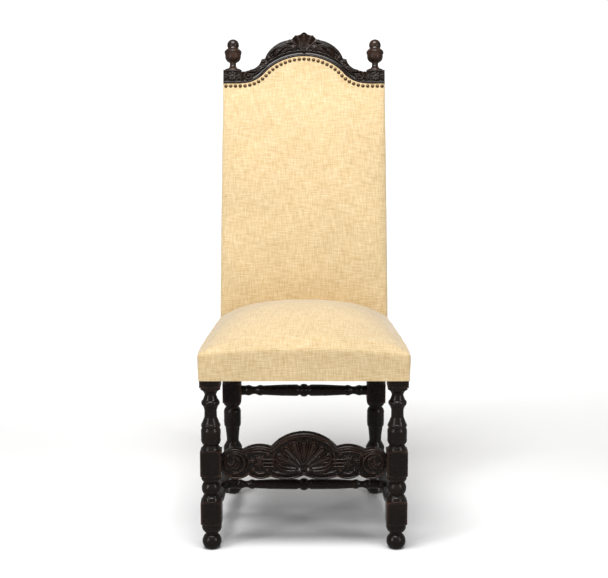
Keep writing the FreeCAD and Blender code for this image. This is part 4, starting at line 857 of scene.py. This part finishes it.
# How far the forms reach past the edges that they are cut to.
HEM_OVERRUN = 0.014
# The least distance of the cloth from wood, and the reach over which its hold on wood fades.
CLEARANCE = 0.0026
HOLD_FADE = 0.025
# The cloth simulation: pressure, frames, the most that it may swell, the hold from which a point is
# tacked down, and how often the swell is levelled.
PRESSURE = 4
SETTLING = 20
SWELL_CAP = 0.004
TACKED = 0.9
LEVELLING = 3
# Side and front of the back's frame, from its middle.
BACK_SIDE = POST_OUTSIDE - POST_CHEEK
BACK_FRONT = POST_FACE + BACK_LAYERS + GAP
# How much sooner than its crown the back's edge is full.
EDGE_LEAD = 1.3


def grid_block(spans, shape, far):
    """Closed block: a grid shaped by a function, with its rim taken straight to a far side."""
    bm = bmesh.new()
    bmesh.ops.create_grid(bm, x_segments=spans[0], y_segments=spans[1], size=1)
    points = list(bm.verts)
    share = np.array([point.co[:2] for point in points])
    for point, place in zip(points, shape(share[:, 0], (share[:, 1] + 1) / 2)):
        point.co = place
    closed_behind(bm, far)
    bmesh.ops.recalc_face_normals(bm, faces=bm.faces)
    return bm


def box_plan(half, front, rear):
    """Corners of a rectangle on plan."""
    return [(half, front), (half, rear), (-half, rear), (-half, front)]


def mirrored_plan(right):
    """A plan whose right half is given, from front to rear."""
    return [*right, *((-across, back) for across, back in reversed(right))]


def prism(plan, low, high):
    """Upright prism over a plan, to cut with."""
    bm = bmesh.new()
    add_block(bm, [(across, back, low) for across, back in plan], (0, 0, high - low))
    bmesh.ops.recalc_face_normals(bm, faces=bm.faces)
    return bm


def evaluated(thing):
    """Mesh of an object with its modifiers applied."""
    graph = bpy.context.evaluated_depsgraph_get()
    return bpy.data.meshes.new_from_object(thing.evaluated_get(graph), depsgraph=graph)


def modified(thing, kind, **options):
    """Apply one modifier to a working object."""
    modifier = thing.modifiers.new("work", kind)
    for option, value in options.items():
        setattr(modifier, option, value)
    mesh = evaluated(thing)
    thing.modifiers.clear()
    thing.data = mesh


def smoothed(thing, times):
    """Round the edges of a form."""
    bm = bmesh.new()
    bm.from_mesh(thing.data)
    for _ in range(times):
        bmesh.ops.smooth_vert(bm, verts=bm.verts, factor=0.5, use_axis_x=True, use_axis_y=True,
                              use_axis_z=True)
    bm.to_mesh(thing.data)
    bm.free()


def inflated(thing, hold):
    """Let the cloth swell over its stuffing: only outwards, to a cap, and less where it is held."""
    mesh = thing.data
    before = np.array([point.co for point in mesh.vertices])
    outwards = np.array([point.normal for point in mesh.vertices])
    ends = np.array([edge.vertices for edge in mesh.edges]).T
    held = hold(*before.T)
    group = thing.vertex_groups.new(name="tacked")
    group.add(np.flatnonzero(held > TACKED).tolist(), 1, "REPLACE")
    cloth = thing.modifiers.new("cloth", "CLOTH")
    cloth.settings.use_pressure = True
    cloth.settings.uniform_pressure_force = PRESSURE
    cloth.settings.effector_weights.gravity = 0
    cloth.settings.vertex_group_mass = "tacked"
    cloth.point_cache.frame_end = SETTLING
    for number in range(1, SETTLING + 1):
        bpy.context.scene.frame_set(number)
    mesh = evaluated(thing)
    bpy.context.scene.frame_set(1)
    thing.modifiers.clear()
    thing.vertex_groups.clear()
    after = np.array([point.co for point in mesh.vertices])
    swell = np.clip(((after - before) * outwards).sum(1), 0, SWELL_CAP) * (1 - held)
    joined = np.bincount(ends.ravel(), minlength=len(swell))
    for _ in range(LEVELLING):
        near = sum(np.bincount(ends[side], swell[ends[1 - side]], len(swell)) for side in (0, 1))
        swell = (swell + near / joined) / 2
    mesh.vertices.foreach_set("co", (before + outwards * swell[:, None]).ravel())
    thing.data = mesh


def cleared(thing, walls):
    """Push out the points of a form that lie too close to the frame it covers.

    The walls are pairs of how far each point lies outside a wall and which way is out.
    """
    points = np.array([point.co for point in thing.data.vertices])
    depths, ways = zip(*walls(*points.T))
    ways = np.array([np.broadcast_to(way, points.shape) for way in ways])
    first = np.argmax(depths, axis=0)
    lack = CLEARANCE - np.max(depths, axis=0)
    lack = np.where((lack > 0) & (lack < HEM_OVERRUN), lack, 0)
    points += ways[first, np.arange(len(points))] * lack[:, None]
    thing.data.vertices.foreach_set("co", points.ravel())
    thing.data.update()


def upholstered(name, bm, hold, walls, cutters, rounding):
    """Mesh of a stuffed and covered form, hollowed where the frame goes."""
    thing = linked(name, mesh_of(name, bm))
    modified(thing, "REMESH", mode="VOXEL", voxel_size=VOXEL, use_smooth_shade=True)
    smoothed(thing, rounding)
    inflated(thing, hold)
    cleared(thing, walls)
    modified(thing, "SUBSURF", levels=1, render_levels=1)
    for cutter in cutters:
        tool = linked("cutter", mesh_of("cutter", cutter))
        modified(thing, "BOOLEAN", operation="DIFFERENCE", solver="EXACT", object=tool)
        bpy.data.objects.remove(tool)
    mesh = thing.data
    bpy.data.objects.remove(thing)
    return mesh


def seat_width(back):
    """Half the seat's width at a depth: it follows the side rails and then the posts."""
    return np.interp(back, (LEG_REAR, POST_FRONT), (LEG_OUTSIDE, POST_OUTSIDE)) + GAP + CLOTH


def seat_form():
    """The seat's stuffing and cover before it swells: a crowned block down to below the rails."""
    looks = settings("chair_linen")
    front, rear = seat_ends()

    def shape(across, along):
        back = front + (rear - front) * along
        half = seat_width(back) + looks.seat_swell
        edge = RAIL_FOOT + looks.seat_edge + looks.seat_climb * along
        across_crown = 1 - np.abs(across) ** (SEAT_FULLNESS + along)
        crown = looks.seat_crown * eased(along, SEAT_CROWN_SHARES) * across_crown
        return np.stack((across * half, back, edge + crown), 1)

    def far(place):
        inset = 1 - looks.seat_swell / LEG_AXIS.x
        return Vector((place.x * inset, place.y, RAIL_FOOT - HEM_OVERRUN))

    return grid_block(SEAT_GRID, shape, far)


def seat_ends():
    """Front and rear of the seat's cover."""
    return LEG_FRONT - settings("chair_linen").seat_overhang, POST_FRONT - GAP


def seat_hold(across, back, up):
    """How firmly the seat's cover is held: along its hem and against the back."""
    _, rear = seat_ends()
    hem = (RAIL_FOOT + 2 * HOLD_FADE - up) / HOLD_FADE
    return np.clip(np.maximum(hem, (back - rear) / HOLD_FADE + 2), 0, 1)


def sideways(across):
    """The way out to the nearer side."""
    return np.stack((np.sign(across), 0 * across, 0 * across), 1)


def seat_walls(across, back, up):
    """How far points lie outside the seat's frame, with the ways out: side, front and top."""
    return ((np.abs(across) - seat_width(back) + CLOTH, sideways(across)),
            (LEG_FRONT - GAP - back, (0, -1, 0)),
            (up - RAIL_TOP - GAP, (0, 0, 1)))


def seat_hollow():
    """Room for the seat frame, and all below the hem."""
    wide = LEG_OUTSIDE + GAP
    narrow = POST_OUTSIDE + GAP
    front = LEG_FRONT - GAP
    plan = mirrored_plan([(wide, front), (wide, LEG_REAR), (narrow, POST_FRONT),
                          (narrow, POST_DEPTH + POST_SIDE)])
    far = 2 * wide
    return [prism(plan, RAIL_FOOT - 2 * HEM_OVERRUN, RAIL_TOP + GAP),
            prism(box_plan(far, -far, far), RAIL_FOOT - 3 * HEM_OVERRUN, RAIL_FOOT)]


def back_width(rise):
    """Half the width of the upholstered back at a height up the posts, in its own frame."""
    looks = settings("chair_linen")
    base = BACK_SIDE + GAP + CLOTH
    return base + looks.back_swell * (1 - rise / (BACK_HEIGHT + ARCH_RISE * MM))


def back_head(across, drop=0.0):
    """Height of the crest's lower edge over the back at a place across it."""
    path = bulged(ogee())[::-1]
    inside = np.interp(across / MM, path[:, 0], path[:, 1])
    return BACK_HEIGHT + np.where(np.abs(across) > CREST_HALF * MM, 0, inside) * MM - drop


def back_form():
    """The back's stuffing and cover before it swells, in the leaning frame of the back."""
    looks = settings("chair_linen")
    base = BACK_FRONT + CLOTH

    def shape(across, along):
        half = back_width(along * BACK_HEIGHT)
        head = back_head(across * half, -HEM_OVERRUN)
        rise = -HEM_OVERRUN + (head + HEM_OVERRUN) * along
        share = np.clip(rise / BACK_HEIGHT, 0, 1)
        level = eased(share, BACK_CROWN_SHARES)
        edge = looks.back_edge * np.clip(level * EDGE_LEAD, 0, 1)
        front = base + edge + looks.back_crown * level * (1 - np.abs(across) ** BACK_FULLNESS)
        return np.stack((across * half, -front, rise), 1)

    def far(place):
        return Vector((place.x, POST_SIDE / 2 + HEM_OVERRUN, place.z))

    return grid_block(BACK_GRID, shape, far)


def back_hold(across, back, up):
    """How firmly the back's cover is held: at its sides, under the crest and at its foot."""
    head = (up - back_head(across)) / HOLD_FADE + 2
    side = (back + POST_FACE) / HOLD_FADE * 2 + 1
    foot = 2 - up / HOLD_FADE
    return np.clip(np.maximum(np.maximum(head, side), foot), 0, 1)


def back_walls(across, back, up):
    """How far points lie outside the frame of the back, with the ways out: side and front."""
    wide = BACK_SIDE + GAP
    return ((np.abs(across) - wide, sideways(across)),
            (-back - BACK_FRONT, (0, -1, 0)))


def back_hollow():
    """Room for the posts, the rails and the base cloth of the back, for the crest and the seat."""
    wide = BACK_SIDE + GAP
    front = -BACK_FRONT
    far = POST_SIDE * 3
    hollow = prism(box_plan(wide, front, far), -far, BACK_HEIGHT + CREST_RISE * MM)
    behind = prism(box_plan(2 * wide, POST_SIDE / 2, far), -far, BACK_HEIGHT + CREST_RISE * MM)
    edge = bulged(ogee(-GAP / MM))[::-1] * MM + (0, BACK_HEIGHT)
    level = BACK_HEIGHT - GAP
    outline = [(-2 * wide, level), *map(tuple, edge), (2 * wide, level),
               (2 * wide, BACK_HEIGHT + far), (-2 * wide, BACK_HEIGHT + far)]
    above = prism([(across, -up) for across, up in outline], -far, far)
    bmesh.ops.rotate(above, matrix=Matrix.Rotation(-math.pi / 2, 3, "X"), verts=above.verts)
    bmesh.ops.recalc_face_normals(above, faces=above.faces)
    below = prism(box_plan(2 * wide, -2 * wide, 2 * wide), 0, RAIL_TOP + BEND_RISE + GAP)
    bmesh.ops.transform(below, matrix=RAKED.inverted(), verts=below.verts)
    return [hollow, behind, above, below]


def thickened(bm, inwards, thickness):
    """Give a sheet its thickness, on the side away from what it lies on."""
    bmesh.ops.recalc_face_normals(bm, faces=bm.faces)
    if sum((face.normal * face.calc_area() for face in bm.faces), Vector()).dot(inwards) < 0:
        bmesh.ops.reverse_faces(bm, faces=bm.faces)
    bm.normal_update()
    bmesh.ops.solidify(bm, geom=bm.faces, thickness=thickness)
    bmesh.ops.recalc_face_normals(bm, faces=bm.faces)


def with_wings(mesh):
    """The seat's mesh with the two flaps of its cover that lie along the posts."""
    _, rear = seat_ends()
    end = POST_DEPTH + POST_SIDE / 2
    start = rear - 2 * CLOTH
    bm = bmesh.new()
    bm.from_mesh(mesh)
    for side in (-1, 1):
        wing = bmesh.new()
        bmesh.ops.create_grid(wing, x_segments=8, y_segments=8, size=0.5)
        for point in wing.verts:
            point.co = Vector((side * (POST_OUTSIDE + CLOTH),
                               (start + end) / 2 + point.co.x * (end - start),
                               RAIL_FOOT + (point.co.y + 0.5) * (RAIL_TOP + BEND_RISE - RAIL_FOOT)))
        thickened(wing, Vector((-side, 0, 0)), CLOTH)
        bm.from_mesh(mesh_of("wing", wing))
    bm.to_mesh(mesh)
    bm.free()
    return mesh


# Cloth of the outside back and of the underside: its grid or cuts, how far it is turned in from the
# outer faces, its sag and its thickness.
OUTSIDE_BACK_GRID = (72, 80)
DUST_CUTS = 24
TURNED_IN = 0.003
DUST_SAG = 0.004
DUST_THICKNESS = 0.0008


def outside_back():
    """Linen over the rear of the back, before it gets its thickness: upright, then leaning."""
    near = POST_SIDE / 2 + GAP
    mitre = -near * math.tan(RAKE / 2)
    upright = RAIL_TOP + BEND_RISE + mitre - RAIL_FOOT
    half = BACK_SIDE
    bend = upright / (upright + BACK_HEIGHT)
    bm = bmesh.new()
    columns, rows = OUTSIDE_BACK_GRID
    bmesh.ops.create_grid(bm, x_segments=columns, y_segments=rows, size=1)
    for point in bm.verts:
        across, share = point.co.x * half, (point.co.y + 1) / 2
        if share <= bend:
            point.co = Vector((across, POST_DEPTH + near, RAIL_FOOT + upright * share / bend))
        else:
            head = float(back_head(across, GAP))
            rise = mitre + (head - mitre) * (share - bend) / (1 - bend)
            point.co = RAKED @ Vector((across, near, rise))
    return bm, half, upright


def dust_plan():
    """Half the plan of the cloth under the seat, notched round the legs and posts."""
    leg_inside = LEG_INSIDE - GAP
    leg_back = LEG_REAR + GAP
    post_front = POST_FRONT - GAP
    inside = POST_INSIDE - GAP
    wide, narrow = LEG_OUTSIDE - TURNED_IN, POST_OUTSIDE - TURNED_IN
    return ((leg_inside, LEG_FRONT + TURNED_IN), (leg_inside, leg_back), (wide, leg_back),
            (narrow, post_front), (inside, post_front), (inside, REAR_RAIL[1].y - TURNED_IN))


def dust_sheet():
    """Cloth under the seat, before it gets its thickness: it sags a little between the rails."""
    right = dust_plan()
    bm = bmesh.new()
    bm.faces.new([bm.verts.new((across, back, 0)) for across, back in mirrored_plan(right)])
    wide, front, rear = right[2][0], right[0][1], right[-1][1]
    for axis, low, high in ((0, -wide, wide), (1, front, rear)):
        normal = Vector((axis == 0, axis == 1, 0))
        for place in np.linspace(low, high, DUST_CUTS)[1:-1]:
            bmesh.ops.bisect_plane(bm, geom=[*bm.verts, *bm.edges, *bm.faces], dist=WELD,
                                   plane_co=normal * place, plane_no=normal)
    middle = (front + rear) / 2
    for point in bm.verts:
        across, back = point.co.x / wide, (point.co.y - middle) / (rear - middle)
        sag = DUST_SAG * max(0, 1 - across ** 2) * max(0, 1 - back ** 2)
        point.co.z = RAIL_FOOT - GAP - sag
    return bm


def sheet_from(name, bm, material, stands_for, inwards,
               thickness=CLOTH):
    """Stretched sheet of cloth, given its thickness and made a finished piece."""
    area = sum(face.calc_area() for face in bm.faces)
    thickened(bm, inwards, thickness)
    piece = make_piece(name, bm, material, stands_for=stands_for)


# Row of domed nails along the crest's lower edge.
NAIL_PITCH = 13
NAIL_RADIUS = 5
NAIL_HEIGHT = 3
NAIL_DROP = 8
# Height and depth of a nail head's rim.
NAIL_RIM = (0.35, -0.6)


def nail_places():
    """Middles of the nail heads, in millimetres across the back and above the crest's foot."""
    end = CREST_HALF + POST_SIDE / MM - 1.5 * NAIL_RADIUS
    path = bulged([(end, -NAIL_DROP, 0), *ogee(-NAIL_DROP), (-end, -NAIL_DROP, 0)])
    reach = np.concatenate(((0,), np.cumsum(np.linalg.norm(np.diff(path, axis=0), axis=1))))
    count = 2 * round(reach[-1] / NAIL_PITCH / 2) + 1
    marks = np.linspace(0, reach[-1], count)
    return np.stack([np.interp(marks, reach, path[:, axis]) for axis in (0, 1)], 1)


def cloth_surface(name):
    """Surface of a finished piece, to lay other pieces on."""
    mesh = bpy.data.objects[name].data
    return BVHTree.FromPolygons([point.co for point in mesh.vertices],
                                [face.vertices for face in mesh.polygons])


def nail_head():
    """One domed nail head that looks forwards, with a thin rim."""
    bm = bmesh.new()
    profile = [(0, NAIL_HEIGHT)]
    profile += [(0.93 * NAIL_RADIUS * math.sin(turn), 0.4 + (NAIL_HEIGHT - 0.4) * math.cos(turn))
                for turn in (0.45, 0.9, 1.3, math.pi / 2)]
    profile += [(NAIL_RADIUS, NAIL_RIM[0]), (NAIL_RADIUS, NAIL_RIM[1]), (0, NAIL_RIM[1])]
    points = [bm.verts.new((across, -out, 0)) for across, out in profile]
    edges = [bm.edges.new(pair) for pair in zip(points, points[1:])]
    bmesh.ops.spin(bm, geom=points + edges, cent=(0, 0, 0), axis=(0, 1, 0), angle=2 * math.pi,
                   steps=14, use_merge=True, use_duplicate=False)
    bmesh.ops.remove_doubles(bm, verts=bm.verts, dist=WELD)
    bmesh.ops.recalc_face_normals(bm, faces=bm.faces)
    bmesh.ops.scale(bm, vec=(MM, MM, MM), verts=bm.verts)
    return mesh_of("nail head", bm)


# The add-on: settings, operators, panel.

class ChairWood(bpy.types.PropertyGroup):
    """Finish of the show wood."""

    stain: bpy.props.FloatVectorProperty(
        name="Stain", description="Darkest colour of the ebonised wood", subtype="COLOR", size=3,
        min=0, max=1, default=(0.0030, 0.0024, 0.0020))
    figure: bpy.props.FloatVectorProperty(
        name="Figure", description="Colour of the wood's lighter grain", subtype="COLOR", size=3,
        min=0, max=1, default=(0.0085, 0.0052, 0.0038))
    rubbed: bpy.props.FloatVectorProperty(
        name="Rubbed", description="Colour where the stain is rubbed off", subtype="COLOR", size=3,
        min=0, max=1, default=(0.085, 0.042, 0.026))
    wear: bpy.props.FloatProperty(
        name="Wear", description="How much the edges are rubbed", subtype="FACTOR", min=0, max=1,
        default=0.7)
    wear_reach: bpy.props.FloatProperty(
        name="Wear reach", description="How far wear goes in from an edge", subtype="DISTANCE",
        unit="LENGTH", min=0, max=0.02, default=0.007)
    gloss: bpy.props.FloatProperty(
        name="Roughness", description="Roughness of the waxed surface", subtype="FACTOR", min=0,
        max=1, default=0.2)


class ChairLinen(bpy.types.PropertyGroup):
    """Linen and stuffing of the seat and back."""

    colour: bpy.props.FloatVectorProperty(
        name="Linen", description="Middle colour of the linen", subtype="COLOR", size=3, min=0,
        max=1, default=(0.69, 0.52, 0.285))
    shade: bpy.props.FloatVectorProperty(
        name="Dark threads", description="Colour of the thin threads", subtype="COLOR", size=3,
        min=0, max=1, default=(0.56, 0.39, 0.19))
    light: bpy.props.FloatVectorProperty(
        name="Light threads", description="Colour of the thick threads", subtype="COLOR", size=3,
        min=0, max=1, default=(0.80, 0.65, 0.41))
    thread_pitch: bpy.props.FloatProperty(
        name="Threads", description="From thread to thread of the linen", subtype="DISTANCE",
        unit="LENGTH", min=0.0002, max=0.01, default=0.0011)
    seat_overhang: bpy.props.FloatProperty(
        name="Overhang", description="Seat's front past the front legs", subtype="DISTANCE",
        unit="LENGTH", min=0, max=0.05, default=0.007)
    seat_swell: bpy.props.FloatProperty(
        name="Seat swell", description="How much wider the seat is at its top edge",
        subtype="DISTANCE", unit="LENGTH", min=0, max=0.03, default=0.004)
    seat_edge: bpy.props.FloatProperty(
        name="Seat edge", description="Height of the seat's front top edge", subtype="DISTANCE",
        unit="LENGTH", min=0.02, max=0.2, default=0.067)
    seat_climb: bpy.props.FloatProperty(
        name="Seat climb", description="How much higher the top edge is behind", subtype="DISTANCE",
        unit="LENGTH", min=0, max=0.1, default=0.014)
    seat_crown: bpy.props.FloatProperty(
        name="Seat crown", description="Crown across the middle of the seat", subtype="DISTANCE",
        unit="LENGTH", min=0, max=0.2, default=0.066)
    back_edge: bpy.props.FloatProperty(
        name="Back edge", description="Stuffing at the sides of the back", subtype="DISTANCE",
        unit="LENGTH", min=0, max=0.1, default=0.012)
    back_crown: bpy.props.FloatProperty(
        name="Back crown", description="How much the back swells in its middle", subtype="DISTANCE",
        unit="LENGTH", min=0, max=0.1, default=0.019)
    back_swell: bpy.props.FloatProperty(
        name="Back swell", description="How much wider the back is at its foot", subtype="DISTANCE",
        unit="LENGTH", min=0, max=0.03, default=0.004)


class ChairStage(bpy.types.PropertyGroup):
    """Studio round the chair."""

    light: bpy.props.FloatProperty(
        name="Light", description="Power of the main soft light", min=0, max=1000, subtype="POWER",
        unit="POWER", default=130)
    surround: bpy.props.FloatProperty(
        name="Surround", description="Brightness of the white surround", min=0, max=5, default=0.22)
    lens: bpy.props.FloatProperty(
        name="Lens", description="Focal length of the camera", subtype="DISTANCE_CAMERA",
        unit="CAMERA", min=10, max=300, default=78.22)


WOOD_NODES = {
    "Z": ("front_leg_left", "front_leg_right", "back_post_left", "back_post_right"),
    "Y": ("side_stretcher_left", "side_stretcher_right"),
    "X": ("medial_stretcher", "rear_stretcher"),
}
RAIL_NODES = {
    "X": ("front_seat_rail", "rear_seat_rail", "back_lower_rail"),
    "Y": ("side_seat_rail_left", "side_seat_rail_right"),
    "Z": ("corner_block_front_left", "corner_block_front_right", "corner_block_rear_left",
          "corner_block_rear_right"),
}


def paint(node, material):
    """Give a frame piece its finish."""
    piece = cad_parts[node]
    piece.data.materials.clear()
    piece.data.materials.append(material)


class CHAIR_OT_finish_frame(bpy.types.Operator):
    """Ebonised finish on the turned pieces, plain wood on the hidden rails"""

    bl_idname = "chair.finish_frame"
    bl_label = "Finish the frame"

    def execute(self, context):
        for grain, nodes in WOOD_NODES.items():
            material = dark_wood("Ebonised wood along " + grain, grain)
            for node in nodes:
                paint(node, material)
        handled = dark_wood("Worn wood of the finials", "Z", faded=0.6)
        for node in ("finial_left", "finial_right"):
            paint(node, handled)
        for grain, nodes in RAIL_NODES.items():
            material = plain_wood("Plain wood along " + grain, grain)
            for node in nodes:
                paint(node, material)
        return {"FINISHED"}


class CHAIR_OT_carve_stretcher(bpy.types.Operator):
    """Carved board between the front legs"""

    bl_idname = "chair.carve_stretcher"
    bl_label = "Carve the front stretcher"

    def execute(self, context):
        top, foot = (edge[::-1] for edge in stretcher_edges())
        bm = carved_board(foot, top, STRETCHER_HALF, carve_stretcher, STRETCHER_GROUND,
                          STRETCHER_REAR, *STRETCHER_GRID)
        wood = dark_wood("Carved wood of the stretcher", "X", True)
        make_piece("carved_front_stretcher", bm, wood, STRETCHER_PLACE,
                   ["front_stretcher"], CARVED_SHARP_ANGLE)
        return {"FINISHED"}


class CHAIR_OT_carve_crest(bpy.types.Operator):
    """Carved crest between the posts, and the carved faces of their top blocks"""

    bl_idname = "chair.carve_crest"
    bl_label = "Carve the crest"

    def execute(self, context):
        wood = dark_wood("Carved wood of the crest", "X", True)
        top, foot = (edge[::-1] for edge in crest_edges())
        bm = carved_board(foot, top, CREST_HALF, carve_crest, CREST_GROUND, CREST_REAR,
                          *CREST_GRID)
        add_crest_band(bm)
        make_piece("carved_crest", bm, wood, CREST_PLACE, ["crest_rail"],
                   CARVED_SHARP_ANGLE)
        level = np.array(((-BLOCK_HALF, 0), (BLOCK_HALF, 0)))
        for name, side in (("left", -1), ("right", 1)):
            bm = carved_board(level, level + (0, BLOCK_RISE), BLOCK_HALF, carve_block,
                              -BLOCK_HALF, BLOCK_DEPTH - BLOCK_HALF, *BLOCK_GRID)
            place = CREST_PLACE @ Matrix.Translation((side * POST_ACROSS, 0, 0))
            make_piece("carved_block_" + name, bm, wood, place, (),
                       CARVED_SHARP_ANGLE)
        return {"FINISHED"}


class CHAIR_OT_upholster_seat(bpy.types.Operator):
    """Domed seat in linen over its stuffing"""

    bl_idname = "chair.upholster_seat"
    bl_label = "Upholster the seat"

    def execute(self, context):
        mesh = with_wings(upholstered("seat", seat_form(), seat_hold, seat_walls, seat_hollow(),
                                      SEAT_ROUNDING))
        seat = place_piece("linen_seat", mesh, linen("Linen of the seat"),
                           ["seat_cover", "seat_pad", "seat_hessian", "seat_webbing_across",
                            "seat_webbing_along"])
        return {"FINISHED"}


class CHAIR_OT_upholster_back(bpy.types.Operator):
    """Upholstered back in linen over its stuffing"""

    bl_idname = "chair.upholster_back"
    bl_label = "Upholster the back"

    def execute(self, context):
        mesh = upholstered("back", back_form(), back_hold, back_walls, back_hollow(), BACK_ROUNDING)
        mesh.transform(RAKED)
        back = place_piece("linen_back", mesh, linen("Linen of the back", (RAKE, 0, 0)),
                           ["back_cover", "back_pad", "back_hessian", "back_webbing_across",
                            "back_webbing_along"])
        return {"FINISHED"}


class CHAIR_OT_cover_outside_back(bpy.types.Operator):
    """Linen stretched over the rear of the back"""

    bl_idname = "chair.cover_outside_back"
    bl_label = "Cover the outside back"

    def execute(self, context):
        bm, half, upright = outside_back()
        cloth = linen("Linen of the outside back", (RAKE, 0, 0))
        sheet_from("linen_outside_back", bm, cloth, ["outside_back_cover"],
                   Vector((0, -1, 0)))
        return {"FINISHED"}


class CHAIR_OT_cover_underside(bpy.types.Operator):
    """Black dust cloth tacked under the seat"""

    bl_idname = "chair.cover_underside"
    bl_label = "Cover the underside"

    def execute(self, context):
        sheet_from("black_dust_cloth", dust_sheet(), dust_cloth("Black dust cloth"),
                   ["dust_cover"],
                   Vector((0, 0, 1)), DUST_THICKNESS)
        return {"FINISHED"}


class CHAIR_OT_drive_nails(bpy.types.Operator):
    """Row of domed nails under the crest"""

    bl_idname = "chair.drive_nails"
    bl_label = "Drive the nails"

    def execute(self, context):
        head = nail_head()
        cloth = cloth_surface("linen_back")
        bm = bmesh.new()
        for across, up in nail_places():
            start = CREST_PLACE @ Vector((across * MM, -POST_SIDE * 4, up * MM))
            point, *_ = cloth.ray_cast(start, CREST_PLACE.to_3x3() @ Vector((0, 1, 0)))
            if point is None:
                raise RuntimeError("a nail of the row lies off the linen of the back")
            first = len(bm.verts)
            bm.from_mesh(head)
            bm.verts.ensure_lookup_table()
            bmesh.ops.translate(bm, vec=CREST_PLACE.inverted() @ point, verts=bm.verts[first:])
        make_piece("nail_row", bm, old_brass("Old brass"), CREST_PLACE, ["nailheads"],
                   CARVED_SHARP_ANGLE)
        return {"FINISHED"}


def soft_light(name, place, aim, size, power):
    """Oblong soft lamp that looks at a point."""
    lamp = bpy.data.lights.new(name, "AREA")
    lamp.shape = "RECTANGLE"
    lamp.size, lamp.size_y = size
    lamp.energy = power
    thing = linked(name, lamp)
    thing.location = place
    thing.rotation_euler = (Vector(aim) - Vector(place)).to_track_quat("-Z", "Y").to_euler()


CAMERA_HEIGHT = 1.142
CAMERA_DISTANCE = 3.11
CAMERA_DIP = math.radians(9.1)
# Floor that sweeps up behind the chair.
SWEEP_START = 5
SWEEP_RADIUS = 2.5
SWEEP_TOP = 8
SWEEP_HALF = 14
# Lamps: name, place, what they look at, size, and share of the main light.
CHAIR_MIDDLE = (0, 0, 0.6)
LIGHTS = (
    ("top light", (-0.3, -1.1, 3.6), CHAIR_MIDDLE, (2.2, 1.8), 1),
    ("left light", (-2.2, -2.2, 1.3), CHAIR_MIDDLE, (0.12, 1.8), 0.13),
    ("right light", (2.2, -2.0, 1.4), CHAIR_MIDDLE, (0.12, 1.8), 0.11),
    ("backdrop light", (0, 2.2, 3.6), (0, SWEEP_START + SWEEP_RADIUS, 1.2), (6, 1.5), 1.9),
)


def swept_floor():
    """Mesh of the floor, with its curve up to the backdrop."""
    bm = bmesh.new()
    curve = arc((SWEEP_START, SWEEP_RADIUS), SWEEP_RADIUS, -90, 0, 24)
    profile = [(-SWEEP_START * 2, 0), *map(tuple, curve), (SWEEP_START + SWEEP_RADIUS, SWEEP_TOP)]
    points = [bm.verts.new((-SWEEP_HALF, back, up)) for back, up in profile]
    edges = [bm.edges.new(pair) for pair in zip(points, points[1:])]
    swept = bmesh.ops.extrude_edge_only(bm, edges=edges)["geom"]
    bmesh.ops.translate(bm, vec=(2 * SWEEP_HALF, 0, 0), verts=points_of(swept))
    bmesh.ops.recalc_face_normals(bm, faces=bm.faces)
    mesh = mesh_of("floor", bm)
    mesh.polygons.foreach_set("use_smooth", [True] * len(mesh.polygons))
    return mesh


class CHAIR_OT_build_stage(bpy.types.Operator):
    """Pale floor, soft lights and the camera of the photograph"""

    bl_idname = "chair.build_stage"
    bl_label = "Build the stage"

    def execute(self, context):
        looks = settings("chair_stage")
        floor = linked("floor", swept_floor())
        floor.data.materials.append(pale_paint("Pale floor"))
        # Glossy rays pass the floor by, so that the dark legs keep small highlights and dark faces.
        floor.visible_glossy = False
        world = bpy.data.worlds.new("White surround")
        world.use_nodes = True
        background = world.node_tree.nodes["Background"].inputs
        background["Color"].default_value = (1, 1, 1, 1)
        background["Strength"].default_value = looks.surround
        context.scene.world = world
        context.scene.view_settings.view_transform = "Standard"
        for name, place, aim, size, share in LIGHTS:
            soft_light(name, place, aim, size, looks.light * share)
        camera = linked("camera", bpy.data.cameras.new("camera"))
        camera.data.lens = looks.lens
        camera.location = (0, LEG_AXIS.y - CAMERA_DISTANCE, CAMERA_HEIGHT)
        camera.rotation_euler = (math.pi / 2 - CAMERA_DIP, 0, 0)
        context.scene.camera = camera
        return {"FINISHED"}


OPERATORS = (
    CHAIR_OT_finish_frame, CHAIR_OT_carve_stretcher, CHAIR_OT_carve_crest,
    CHAIR_OT_upholster_seat, CHAIR_OT_upholster_back, CHAIR_OT_cover_outside_back,
    CHAIR_OT_cover_underside, CHAIR_OT_drive_nails, CHAIR_OT_build_stage,
)
GROUPS = {"chair_wood": ChairWood, "chair_linen": ChairLinen, "chair_stage": ChairStage}


class CHAIR_PT_panel(bpy.types.Panel):
    """Steps that dress the chair"""

    bl_idname = "CHAIR_PT_panel"
    bl_label = "Carved side chair"
    bl_space_type = "VIEW_3D"
    bl_region_type = "UI"
    bl_category = "Chair"

    def draw(self, context):
        for operator in OPERATORS:
            self.layout.operator(operator.bl_idname)
        for name, group in GROUPS.items():
            box = self.layout.box()
            for prop in group.__annotations__:
                box.prop(getattr(context.scene, name), prop)


def register():
    for name, group in GROUPS.items():
        bpy.utils.register_class(group)
        setattr(bpy.types.Scene, name, bpy.props.PointerProperty(type=group))
    for operator in OPERATORS:
        bpy.utils.register_class(operator)
    bpy.utils.register_class(CHAIR_PT_panel)


def unregister():
    bpy.utils.unregister_class(CHAIR_PT_panel)
    for operator in reversed(OPERATORS):
        bpy.utils.unregister_class(operator)
    for name, group in reversed(GROUPS.items()):
        delattr(bpy.types.Scene, name)
        bpy.utils.unregister_class(group)


def main():
    register()
    for operator in OPERATORS:
        group, name = operator.bl_idname.split(".")
        getattr(getattr(bpy.ops, group), name)()


if __name__ == "__main__":
    main()
